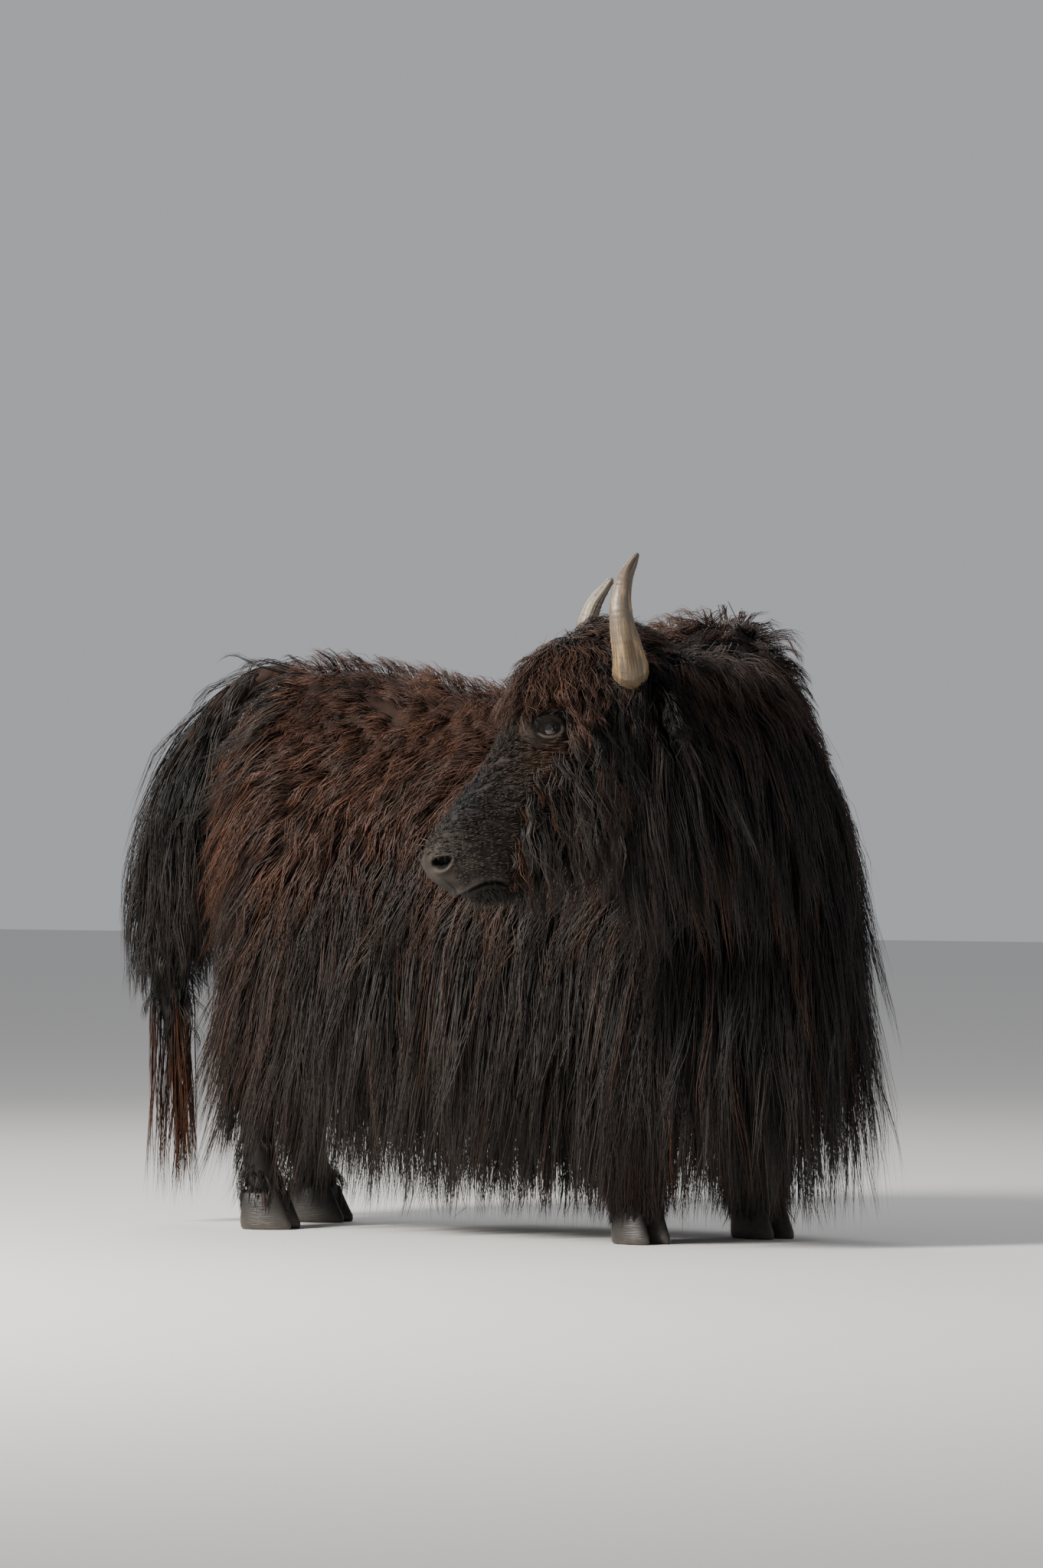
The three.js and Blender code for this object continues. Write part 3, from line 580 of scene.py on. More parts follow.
def streaked_group():
    """A colour made darker and lighter by a noise."""
    colour, number, vector = "NodeSocketColor", "NodeSocketFloat", "NodeSocketVector"
    tree, given, out = new_group(
        "streaked",
        [
            ("Color", colour, (0.5, 0.5, 0.5, 1)),
            ("Vector", vector, (0, 0, 0)),
            ("Scale", number, 50.0),
            ("Detail", number, 3.0),
            ("Dark", colour, (0.7, 0.7, 0.7, 1)),
            ("Light", colour, (1.3, 1.3, 1.3, 1)),
        ],
    )
    tree.interface.new_socket("Color", in_out="OUTPUT", socket_type=colour)
    spread = noise(tree, given["Vector"], given["Scale"], given["Detail"])
    share = node(tree, "ShaderNodeMapRange", {0: spread, 1: 0.3, 2: 0.7}).outputs[0]
    shade = mixed(tree, "MIX", share, given["Dark"], given["Light"])
    tree.links.new(mixed(tree, "MULTIPLY", 1.0, given["Color"], shade), out.inputs["Color"])
    return tree


def relief_group():
    """A bump from a noise, finer or coarser."""
    number = "NodeSocketFloat"
    tree, given, out = new_group(
        "relief",
        [
            ("Vector", "NodeSocketVector", (0, 0, 0)),
            ("Scale", number, 100.0),
            ("Detail", number, 3.0),
            ("Strength", number, 0.5),
            ("Distance", number, 0.002),
        ],
    )
    tree.interface.new_socket("Normal", in_out="OUTPUT", socket_type="NodeSocketVector")
    height = noise(tree, given["Vector"], given["Scale"], given["Detail"])
    tree.links.new(bump(tree, height, given["Strength"], given["Distance"]), out.inputs["Normal"])
    return tree


STREAKED, RELIEF = streaked_group(), relief_group()


def streaked(tree, colour, vector, scale, detail, dark, light):
    given = {"Color": colour, "Vector": vector, "Scale": scale, "Detail": detail}
    shades = {"Dark": (*dark, 1), "Light": (*light, 1)}
    return node(tree, "ShaderNodeGroup", given | shades, node_tree=STREAKED).outputs[0]


def relief(tree, vector, scale, detail, strength, distance):
    given = {"Vector": vector, "Scale": scale, "Detail": detail, "Strength": strength, "Distance": distance}
    return node(tree, "ShaderNodeGroup", given, node_tree=RELIEF).outputs[0]


# Materials
def hair_material():
    """Strands take their colour from the tint painted on them, with fine streaks along each one."""
    material, tree, shader = new_material("hair")
    place = node(tree, "ShaderNodeTexCoord").outputs["Object"]
    tint = attribute(tree, "tint").outputs["Color"]
    shades = streaked(tree, tint, place, 160.0, 2.0, (0.72, 0.72, 0.74), (1.28, 1.25, 1.22))
    tree.links.new(shades, shader.inputs["Base Color"])
    set_plain(shader, Roughness=0.46, Specular_IOR_Level=0.22, Anisotropic=0.4)
    return material


def skin_material():
    """Skin and its short nap: the coat's colours, darker, with a fine lay of hair as bump."""
    material, tree, shader = new_material("skin")
    place = node(tree, "ShaderNodeTexCoord").outputs["Object"]
    tint = attribute(tree, "tint").outputs["Color"]
    mottled = streaked(tree, tint, place, 45.0, 5.0, (0.6, 0.6, 0.62), (1.25, 1.2, 1.15))
    tree.links.new(mottled, shader.inputs["Base Color"])
    cells = {"Vector": place, "Scale": 260.0}
    pores = node(tree, "ShaderNodeTexVoronoi", cells, feature="DISTANCE_TO_EDGE").outputs[0]
    nap = relief(tree, place, 900.0, 2.0, 0.5, 0.002)
    tree.links.new(bump(tree, pores, 0.25, 0.002, nap), shader.inputs["Normal"])
    set_plain(shader, Roughness=0.6, Specular_IOR_Level=0.16)
    return material


def horn_material():
    """Horn: a yellowish base, an ivory to tan shaft with grey streaks, growth rings and a dark tip."""
    material, tree, shader = new_material("horn")
    grown = attribute(tree, "grown")
    split = node(tree, "ShaderNodeSeparateColor", {0: grown.outputs["Color"]})
    along, side, worn = split.outputs[0], split.outputs[1], split.outputs[2]
    lay = node(tree, "ShaderNodeCombineXYZ", {0: along, 1: side, 2: worn}).outputs[0]
    lengthwise = stretched(tree, lay, (2.4, 9.0, 1.0))
    streak = noise(tree, lengthwise, 1.7, 7.0)
    patch = noise(tree, stretched(tree, lay, (4.0, 2.2, 1.0)), 1.6, 4.0)
    base = ramp(
        tree,
        along,
        [
            (0.0, (0.20, 0.12, 0.050)),
            (0.2, (0.40, 0.25, 0.095)),
            (0.3, (0.27, 0.18, 0.085)),
            (0.55, (0.215, 0.152, 0.088)),
            (0.8, (0.175, 0.128, 0.085)),
            (1.0, (0.075, 0.058, 0.044)),
        ],
    )
    shades = [(0.40, (0.22, 0.20, 0.19)), (0.48, (0.72, 0.70, 0.67)), (0.6, (1.3, 1.26, 1.2))]
    dark = ramp(tree, streak, shades)
    shaft = mixed(tree, "MULTIPLY", 0.9, base, dark)
    grey = ramp(tree, patch, [(0.40, (0.0,) * 3), (0.54, (0.85,) * 3)])
    shaft = mixed(tree, "MIX", grey, shaft, (0.085, 0.066, 0.050))
    chalk = mixed(tree, "MULTIPLY", 1.0, (0.34, 0.295, 0.24), dark)
    tree.links.new(mixed(tree, "MIX", worn, shaft, chalk), shader.inputs["Base Color"])
    waves = {"Vector": lay, "Scale": 9.0, "Distortion": 4.0, "Detail": 3.0, "Detail Scale": 2.0}
    rings = node(tree, "ShaderNodeTexWave", waves, bands_direction="X")
    grain = relief(tree, lengthwise, 8.0, 5.0, 0.35, 0.001)
    tree.links.new(bump(tree, rings.outputs[0], 0.16, 0.002, grain), shader.inputs["Normal"])
    tree.links.new(ramp(tree, streak, [(0.3, (0.55,) * 3), (0.7, (0.36,) * 3)]), shader.inputs["Roughness"])
    return material


def hoof_material():
    """Hoof horn: near black, dusty towards the ground, with rings across it."""
    material, tree, shader = new_material("hoof")
    place = node(tree, "ShaderNodeTexCoord").outputs["Object"]
    height = node(tree, "ShaderNodeSeparateXYZ", {0: place}).outputs[2]
    dust = node(tree, "ShaderNodeMapRange", {0: height, 1: 0.0, 2: 0.05, 3: 1.0, 4: 0.0}).outputs[0]
    mottle = noise(tree, place, 60.0, 5.0)
    patch = node(tree, "ShaderNodeMath", {0: dust, 1: mottle}, operation="MULTIPLY").outputs[0]
    dusty = mixed(tree, "MIX", patch, (0.016, 0.014, 0.013), (0.085, 0.070, 0.056))
    tree.links.new(dusty, shader.inputs["Base Color"])
    squeezed = stretched(tree, place, (1.0, 1.0, 8.0))
    tree.links.new(relief(tree, squeezed, 40.0, 3.0, 0.5, 0.003), shader.inputs["Normal"])
    set_plain(shader, Roughness=0.5)
    return material


def eye_material():
    """A dark brown eye with a wide pupil, wet on its surface."""
    material, tree, shader = new_material("eye")
    iris = attribute(tree, "iris").outputs["Color"]
    from_middle = node(tree, "ShaderNodeSeparateColor", {0: iris}).outputs[0]
    pupil = [(0.0, (0.002, 0.002, 0.003)), (0.42, (0.004, 0.003, 0.003))]
    round_it = [(0.5, (0.045, 0.02, 0.010)), (0.9, (0.02, 0.01, 0.006))]
    tree.links.new(ramp(tree, from_middle, pupil + round_it), shader.inputs["Base Color"])
    set_plain(shader, Roughness=0.08, Coat_Weight=1.0, Coat_Roughness=0.03)
    return material


HAIR, SKIN, HORN_STUFF, HOOF_STUFF, EYE_STUFF = (
    hair_material(),
    skin_material(),
    horn_material(),
    hoof_material(),
    eye_material(),
)


# Meshes from arrays
def new_piece(name, corners, faces, material, colours=None, uv=None, attribute_name="tint"):
    """A smooth mesh in the shared frame, from corners in metres and lists of faces with 3 or 4 corners."""
    mesh = bpy.data.meshes.new(name)
    faces = [np.asarray(part) for part in faces if len(part)]
    loops = np.concatenate([part.ravel() for part in faces])
    sizes = np.concatenate([np.full(len(part), part.shape[1]) for part in faces])
    starts = np.concatenate([[0], np.cumsum(sizes)[:-1]])
    mesh.vertices.add(len(corners))
    mesh.vertices.foreach_set("co", np.asarray(corners, np.float32).ravel())
    mesh.loops.add(len(loops))
    mesh.loops.foreach_set("vertex_index", loops.astype(np.int32))
    mesh.polygons.add(len(sizes))
    mesh.polygons.foreach_set("loop_start", starts.astype(np.int32))
    mesh.polygons.foreach_set("loop_total", sizes.astype(np.int32))
    if uv is not None:
        layer = mesh.uv_layers.new(name="OFBake")
        layer.data.foreach_set("uv", uv[loops].astype(np.float32).ravel())
    mesh.update(calc_edges=True)
    mesh.validate()
    mesh.shade_smooth()
    if colours is not None:
        layer = mesh.color_attributes.new(attribute_name, "FLOAT_COLOR", "POINT")
        opaque = np.concatenate([colours, np.ones((len(colours), 1))], 1)
        layer.data.foreach_set("color", opaque.astype(np.float32).ravel())
    mesh.materials.append(material)
    piece = bpy.data.objects.new(name, mesh)
    scene.collection.objects.link(piece)
    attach(piece, "root")
    return piece


def facing_out(corners, faces):
    """The faces with their outsides outwards, judged by the volume that they enclose."""
    volume = 0.0
    for part in faces:
        for k in range(1, part.shape[1] - 1):
            a, b, c = corners[part[:, 0]], corners[part[:, k]], corners[part[:, k + 1]]
            volume += (a * np.cross(b, c)).sum()
    return faces if volume > 0 else [part[:, ::-1] for part in faces]


def gathered(parts):
    """One list of corners and faces from several."""
    corners, fours, threes, base = [], [], [], 0
    for points, quads, triangles in parts:
        corners.append(points)
        fours.append(quads + base)
        threes.append(triangles + base)
        base += len(points)
    return np.concatenate(corners), np.concatenate(fours), np.concatenate(threes)


def joined(parts):
    """The same from closed sheets, each with its outside outwards."""
    return gathered([(corners, *facing_out(corners - corners.mean(0), faces)) for corners, *faces in parts])


# Coat colours, in linear light
BLACK = np.array([0.0075, 0.0062, 0.0058])
GREY = np.array([0.0205, 0.0178, 0.0160])
BROWN = np.array([0.034, 0.015, 0.0085])
RED = np.array([0.085, 0.032, 0.015])
WOOL = np.array([0.034, 0.0155, 0.0095])


def wander(p, scale, seed):
    """Soft noise between -1 and 1 from a few crossed waves, at places in metres."""
    chance = np.random.default_rng(seed)
    total = np.zeros(len(p))
    for octave in range(3):
        for _ in range(4):
            direction = unit(chance.normal(size=3))
            turn = p @ direction * scale * 2**octave * 2 * math.pi
            total += np.sin(turn + chance.uniform(0, 7)) / 2**octave
    return np.clip(total / 3.2, -1, 1)


def tinted(colour, goal, share):
    """Colours moved towards another by a share for each place."""
    return colour + (np.asarray(goal) - colour) * np.asarray(share)[:, None]


def coat_colour(p):
    """The coat's ground colour at places in metres: reddish brown above, grey-black below and in front."""
    q = local(p)
    s, _ = back.locate(q)
    level = q[:, 2]
    soft, fine = wander(p, 2.6, 5), wander(p, 7.0, 6)
    colour = tinted(GREY * 0.82 + BLACK * 0.1, WOOL * 1.1, smooth(level + 70 * soft, 720, 920))
    colour = colour * (1 + 0.3 * soft + 0.25 * fine)[:, None]
    rear = smooth(-s, -250, 40) * smooth(level, 350, 700)
    colour = tinted(colour, RED * 0.5, rear * (0.22 + 0.25 * fine).clip(0, 1))
    hump_top = smooth(level, 1190, 1290) * smooth(s, 930, 1010)
    colour = tinted(colour, RED * 0.62, hump_top * 0.55)
    front = BLACK * 1.25 * (1 + 0.4 * fine)[:, None]
    return tinted(colour, front, smooth(nape_place(q), 1020, 1240))


def nape_place(q):
    """How far along the neck a place is, from 1000 behind it to 1700 at the head."""
    s, _ = nape.locate(q)
    near = smooth(-np.linalg.norm(q[:, :2] - nape.point(s)[:, :2], axis=1), -360, -250)
    return np.where(s > 1010, 1000 + (s - 1000) * near, 1000)


# Head skin: fine sections with the orbits, lids, nostrils and mouth worked into them
HEAD_SIDES = 200
HEAD_RINGS = np.concatenate(
    [np.arange(-80, 140, 8), np.arange(140, 272, 2.0), np.arange(272, 480, 5), np.arange(480, 568, 1.8)]
)
HEAD_END = 568.0
MOUTH_LINE = np.array([(590, -26), *MOUTH, (484, -106)], float)


def head_turns():
    """Turns round the head, closer together at the level of the eyes."""
    u = np.arange(HEAD_SIDES) / HEAD_SIDES
    return u * 2 * math.pi - 0.18 * np.sin(4 * math.pi * u)


def to_line(along, up, line):
    """The distance from places to a line through points, and how far along it they are."""
    best = np.full(len(along), 1e9)
    where = np.zeros(len(along))
    p = np.stack([along, up], -1)
    for i in range(len(line) - 1):
        a, d = line[i], line[i + 1] - line[i]
        t = np.clip(((p - a) @ d) / (d @ d), 0, 1)
        away = np.linalg.norm(p - a - t[:, None] * d, axis=1)
        where = np.where(away < best, i + t, where)
        best = np.minimum(best, away)
    return best, where


def over_line(along, up, line):
    """The distance from places to a line, negative below it, and how far along it they are."""
    away, where = to_line(along, up, line)
    i = np.clip(where.astype(int), 0, len(line) - 2)
    a, d = line[i], line[i + 1] - line[i]
    cross = d[:, 0] * (up - a[:, 1]) - d[:, 1] * (along - a[:, 0])
    return away * np.sign(-cross), where


def nostril_ring(along, up):
    """How far out from a nostril's middle a place is, where 1 is its edge. It narrows to a tail behind."""
    x, z = along - NOSTRIL["along"], up - NOSTRIL["up"]
    long = x * 0.83 + z * 0.55
    wide = -x * 0.55 + z * 0.83 - 0.012 * long**2
    half = NOSTRIL["wide"] * (1 + 0.25 * np.clip(long / NOSTRIL["long"], -1, 1))
    return np.sqrt((long / NOSTRIL["long"]) ** 2 + (wide / half) ** 2)


def face_relief(f):
    """Moves places on the head's plain form, in the face's own frame, to the form with its features."""
    along, left, up = f.T.copy()
    side = np.sign(left)
    out = np.abs(left)
    # The forehead is broad and flat, with a groove down its middle, and the bridge is slightly hollow
    up = up + 7 * hill((along - 190) / 60, (out - 62) / 34) * (up > 0)
    up = up - 5 * hill((along - 330) / 80, out / 40) * (up > 0)
    # The crest of the cheek runs from below the eye to the muzzle
    crest = to_line(along, up, np.array([(215, 18), (300, 6), (390, 4)]))[0]
    out = out + 5 * hill(crest / 13) * (out > 30)
    hollow = to_line(along, up, np.array([(270, 62), (350, 50), (450, 40)]))[0]
    out = out - 5 * hill(hollow / 16) * (out > 30)
    jaw = to_line(along, up, np.array([(40, -70), (130, -110), (240, -112)]))[0]
    out = out + 7 * hill(jaw / 30) * (out > 20)
    # The forelock's roots lie thick over the crown
    up = up + 20 * hill((along - 120) / 75, out / 80) * smooth(up, 10, 70)
    # The orbit swells round the eye
    x, z = (along - 202) / 50, (up - 54) / 40
    inside = np.clip(1 - x**2 - z**2, 0, 1)
    bulge = 82 + 29 * np.sqrt(inside)
    swollen = np.maximum(out, out + (bulge - out) * smooth(inside, 0, 0.35))
    out = np.where((inside > 0) & (out > 40), swollen, out)
    # Nostrils: a comma-shaped pit with a raised rim
    ring = nostril_ring(along, up)
    near = smooth(out, 12, 26)
    rim = 5.5 * hill((ring - 1.22) / 0.3) * near
    pit = 20 * smooth(-ring, -1.0, -0.6) * near
    out = out + (rim - pit) * 0.7
    along = along - pit * 0.65 + rim * 0.45
    # Mouth: a groove between two rounded lips, with the corner drawn in
    away, where = over_line(along, up, MOUTH_LINE)
    fade = smooth(-where, -5.6, -4.6)
    swell = (5.0 * hill((away - 9) / 6.5) + 4.5 * hill((away + 9) / 6.0) - 7 * hill(away / 2.6)) * fade
    front = smooth(along, 545, 566)
    out = out + swell * (1 - 0.7 * front) * smooth(out, 4, 16)
    along = along + swell * front
    # The muzzle's bare top between the nostrils, and the chin
    along = along + 4 * hill((up - 40) / 26, out / 26) * smooth(along, 525, 560)
    up = up - 7 * hill((along - 512) / 26, (up + 92) / 26, out / 40)
    return np.stack([along, side * out, up], -1)


def head_places(along, turn):
    """Places on the head's plain form, 2 mm under the solid."""
    return stack(along, *section_point(head_section(along), turn, -2.0))


def head_mesh():
    turns = head_turns()
    rings = [head_places(np.full(HEAD_SIDES, a), turns) for a in HEAD_RINGS]
    last = rings[-1]
    middle = np.array([HEAD_END, 0, 18.0])
    for k in range(1, 9):
        bend = k / 8.5 * math.pi / 2
        ring = middle + (last - middle) * math.cos(bend)
        ring[:, 0] = last[:, 0] + 7 * math.sin(bend)
        rings.append(ring)
    ends = [(HEAD_RINGS[0], 0, -20), (HEAD_END + 7.2, 0, 18)]
    return face_relief(np.concatenate([*rings, ends])), *tube_faces(len(rings), HEAD_SIDES)


# The eye's opening is nearly level, so it is turned from the way along the face
EYE_SLANT = math.radians(48)


def eye_axes(x, z, turned_by=-EYE_SLANT):
    """Distances from an eye's middle along its opening and across it, from those along and up the face."""
    cos, sin = math.cos(turned_by), math.sin(turned_by)
    return x * cos - z * sin, x * sin + z * cos


def lid_mesh(side):
    """Lids: a sheet over the eyeball from the opening's edge, rounded there, out to the orbit."""
    sides = 72
    turn = round_turns(sides)
    corner = 1 + 0.16 * np.abs(np.cos(turn)) ** 8
    x0 = OPENING["long"] * np.cos(turn) * corner
    z0 = OPENING["tall"] * np.sin(turn) * (1 - 0.28 * np.abs(np.cos(turn)) ** 3)
    # From inside the lid, over its edge and out: how far from the opening's edge and how far off the eyeball
    steps = [(-1.5, -3.0), (-2.6, 0.0), (-2.2, 1.8), (-0.6, 3.2)]
    steps += [(1.6, 3.9), (4, 3.9), (6.5, 3.0), (8.5, 2.4)]
    steps += [(11, 3.2), (14.5, 3.8), (18, 3.2), (22, 1.6), (27, -2.0), (33, -8.0)]
    rings = []
    for away, off in steps:
        reach = np.hypot(x0, z0)
        x = x0 * (reach + away) / reach
        upper = z0 * (reach + away) / reach
        x, z = eye_axes(x, upper, EYE_SLANT)
        r = EYE["radius"] + off
        ball = np.sqrt(np.maximum(r**2 - x**2 - z**2, 0))
        orbit = -4 + 28 * np.sqrt(np.clip(1 - (x / 50) ** 2 - (z / 40) ** 2, 0, 1)) + off * 0.5
        y = ball + (orbit - ball) * smooth(np.hypot(x, z), 13, 26)
        hood = np.where(upper > 0, 2.4 * smooth(away, 2, 10) * smooth(-away, -22, -10), 0)
        rings.append(np.stack([EYE["along"] + x, side * (EYE["out"] + y + hood), EYE["up"] + z], -1))
    inner = [ring + np.array([0, -side * 5.0, 0]) for ring in rings[::-1][1:-1]]
    points = np.concatenate(rings + inner)
    return points, ring_quads(len(rings + inner) + 1, sides) % len(points), np.zeros((0, 3), int)


def from_face(corners, *faces):
    return world(on_face(*corners.T)), *faces


# Body flesh
SIDES = {"left": 1, "right": -1}
trunk = Form(trunk_place, TRUNK[0][0], TRUNK[-1][0], (0.0, 0.0, 0.55, 0.5))
hump = Form(hump_place, 0.06, math.pi - 0.06, (0.55, 0.0, 0.75, 0.25))
neck = Form(neck_place, NECK[0][0], NECK[-1][0], (0.55, 0.25, 0.75, 0.5))
legs = {
    (end, name): leg_form(rows, side, (0.75, 0.25 * k, 1.0, 0.25 * (k + 1)))
    for k, (end, rows, name, side) in enumerate(
        (end, rows, name, side)
        for end, rows in (("fore", FORE_LEG), ("hind", HIND_LEG))
        for name, side in SIDES.items()
    )
}
ears = {name: ear_form(side, (0, 0.5 + 0.1 * side, 0.1, 0.6 + 0.1 * side)) for name, side in SIDES.items()}
# Grain of the joined flesh, in metres
SKIN_GRAIN = 0.0112


def flesh_mesh():
    """The trunk, hump, neck, legs and tail as one closed sheet."""
    forms = [(trunk, 120, 72), (hump, 40, 40), (neck, 60, 56), (tail_form, 80, 24)]
    forms += [(leg, 90, 28) for leg in legs.values()]
    corners, *faces = joined([form.mesh(rings, sides) for form, rings, sides in forms])
    rough = new_raw("flesh", world(corners), faces)
    remesh = rough.modifiers.new("remesh", "REMESH")
    remesh.mode = "VOXEL"
    remesh.voxel_size = SKIN_GRAIN
    even = rough.modifiers.new("even", "SMOOTH")
    even.factor = 0.5
    even.iterations = 5
    settled = bpy.context.evaluated_depsgraph_get()
    mesh = bpy.data.meshes.new_from_object(rough.evaluated_get(settled))
    corners = np.zeros(len(mesh.vertices) * 3, np.float32)
    mesh.vertices.foreach_get("co", corners)
    faces = [tuple(face.vertices) for face in mesh.polygons]
    odd = np.array([face for face in faces if len(face) == 3], int).reshape(-1, 3)
    faces = np.array([face for face in faces if len(face) == 4], int).reshape(-1, 4)
    bpy.data.objects.remove(rough)
    return corners.reshape(-1, 3).astype(float), faces, odd


def new_raw(name, corners, faces):
    mesh = bpy.data.meshes.new(name)
    mesh.from_pydata(corners.tolist(), [], [tuple(face) for part in faces for face in part.tolist()])
    made = bpy.data.objects.new(name, mesh)
    scene.collection.objects.link(made)
    return made


def ear_mesh(form):
    """An ear: a leaf with a hollow to the front, thin at its edge."""
    rings, sides = 60, 48
    corners, *faces = form.mesh(rings, sides)
    u = np.linspace(0, 1, rings)
    cup = (smooth(u, 0.12, 0.35) * smooth(-u, -1.0, -0.85))[:, None]
    points = corners[:-2].reshape(rings, sides, 3)
    ahead = LEVEL_AXES[:, 0]
    offset = points - points.mean(1, keepdims=True)
    facing = (offset * ahead).sum(-1)
    wide = np.linalg.norm(offset - facing[..., None] * ahead, axis=-1)
    share = (wide / by_index(EAR)(u)[:, 3:]) ** 2
    sink = 14 * cup * np.clip(1 - share, 0, 1) * (facing > -1)
    corners[:-2] = (points + ahead * (6 * cup * share - sink)[..., None]).reshape(-1, 3)
    return world(corners), *faces


skin_parts = [flesh_mesh(), from_face(*head_mesh())]
skin_parts += [from_face(*lid_mesh(side)) for side in SIDES.values()]
skin_parts += [ear_mesh(form) for form in ears.values()]
skin_corners, skin_quads, skin_threes = joined(skin_parts)


def face_colour(p):
    """The head's colours: grey-brown short hair, paler lips and nostril rims, a painted sheen on the bridge,
    painted shade below the mouth, in its groove and in the nostrils, and a pale painted glint on the lower lid
    rim.
    """
    along, left, up = in_face(local(p))
    out = np.abs(left)
    soft, fine = wander(p, 6.0, 8)[:, None], wander(p, 22.0, 9)[:, None]
    colour = np.array([0.0170, 0.0125, 0.0102]) * (1 + 0.3 * soft + 0.25 * fine)
    # The top of the bridge is tinted blue-grey: a painted sheen.
    colour = tinted(colour, (0.0165, 0.0155, 0.0160), smooth(up, 40, 85) * smooth(along, 300, 400))
    brown = hill((along - 262) / 46, (up - 20) / 34) * smooth(out, 30, 60)
    colour = tinted(colour, (0.058, 0.027, 0.015), brown * 0.6)
    muzzle = np.array([0.030, 0.0245, 0.0205]) * (1 + 0.3 * fine)
    colour = tinted(colour, muzzle, smooth(along, 450, 530))
    away, where = over_line(along, up, MOUTH_LINE)
    lip = hill((away - 5) / 4.0) * smooth(-where, -3.2, -1.4)
    colour = tinted(colour, (0.12, 0.105, 0.092), lip * 0.6)
    # Below the mouth the lower lip and chin are darkened: partly their own dark colour, partly painted shade
    # under the mouth.
    below = smooth(-away, -2, 4) * smooth(along, 430, 480)
    # The groove between the lips is darkened almost to black: painted shade.
    painted_groove_shade = hill(away / 3.4) * smooth(-where, -5.6, -4.8)
    colour = colour * ((1 - 0.7 * below) * (1 - 0.94 * painted_groove_shade))[:, None]
    ring, at_side = nostril_ring(along, up), smooth(out, 14, 30)
    rim = hill((ring - 1.15) / 0.22) * at_side * (0.25 + 0.75 * smooth(NOSTRIL["up"] - up, -12, 8))
    colour = tinted(colour, (0.085, 0.070, 0.058), rim * 0.45)
    # Inside the nostrils the colour is darkened almost to black: painted shade in the pit.
    colour = colour * (1 - 0.95 * smooth(-ring, -1.05, -0.8) * at_side)[:, None]
    x, z = eye_axes(along - EYE["along"], up - EYE["up"])
    near = np.sqrt((x / 27) ** 2 + (z / 19) ** 2)
    colour = tinted(colour, (0.010, 0.0085, 0.008), hill((near - 0.95) / 0.2) * (out > 60) * 0.8)
    # A pale rim under the eye: a painted glint on the wet lower lid.
    edge = np.sqrt((x / (OPENING["long"] + 2)) ** 2 + (z / OPENING["tall"]) ** 2)
    painted_lid_glint = hill((edge - 1.12) / 0.13) * smooth(-z - 0.25 * x, -1, 6) * (out > 60)
    return tinted(colour, (0.22, 0.185, 0.155), painted_lid_glint * 0.85)


def skin_colour(p):
    along, left, _ = in_face(local(p))
    on_it = (smooth(along, 60, 150) * smooth(-np.abs(left), -190, -130))[:, None]
    # Under the coat the skin has the coat's colour darkened: dark skin, and painted shade in the gaps between
    # the locks.
    return coat_colour(p) * 0.55 * (1 - on_it) + face_colour(p) * on_it


skin = new_piece("skin", skin_corners, [skin_quads, skin_threes], SKIN, skin_colour(skin_corners))
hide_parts("torso", "head", "neck", "tail", "ear_left", "ear_right")
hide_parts("leg_fore_left", "leg_fore_right", "leg_hind_left", "leg_hind_right")


# Horns
def horn_mesh(side):
    point, radius = horn_line(side)
    rings, sides = 150, 64
    tip = 0.06 * np.sin(np.linspace(0, math.pi / 2, 21))[1:]
    u = np.concatenate([np.linspace(0, 0.94, 130), 0.94 + tip])
    turn = round_turns(sides)
    chance = np.random.default_rng(31 + side)
    at = point(u)
    ahead = unit(point(np.minimum(u + 0.01, 1.0)) - point(np.maximum(u - 0.01, 0)))
    across = unit(np.cross(ahead, HEAD_AHEAD))
    up = np.cross(across, ahead)
    base = smooth(-u, -0.5, -0.22)
    ringed = 1 + 0.014 * np.sin(u * 74 + 2.0 * np.sin(u * 31)) * (0.3 + base)
    knobs = wander(at, 30.0, 40 + side) * (0.05 if side < 0 else 0.02)
    shape = 1 + 0.045 * np.sin(2 * turn + 0.6) + 0.02 * np.sin(5 * turn + chance.uniform(0, 6))
    r = (radius(u) * (ringed + knobs))[:, None] * shape
    points = at[:, None] + (r * np.cos(turn))[..., None] * across[:, None]
    points = points + (r * np.sin(turn))[..., None] * up[:, None]
    corners = world(np.concatenate([points.reshape(-1, 3), [at[0], at[-1] + ahead[-1]]]))
    # What the horn's colours go by: how far along it, how far round it, and how worn it is
    marks = np.zeros((len(corners), 3))
    marks[:-2, 0] = np.repeat(u, sides)
    marks[:-2, 1] = np.tile(np.abs(((turn / math.pi) % 2) - 1), rings)
    marks[:, 2] = 0.55 if side < 0 else 0.0
    marks[-1, 0] = 1
    return corners, facing_out(corners - corners.mean(0), tube_faces(rings, sides)), marks


for name, side in SIDES.items():
    corners, faces, marks = horn_mesh(side)
    made = new_piece(f"horn_{name}_grown", corners, faces, HORN_STUFF, marks, None, "grown")
    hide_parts(f"horn_{name}")


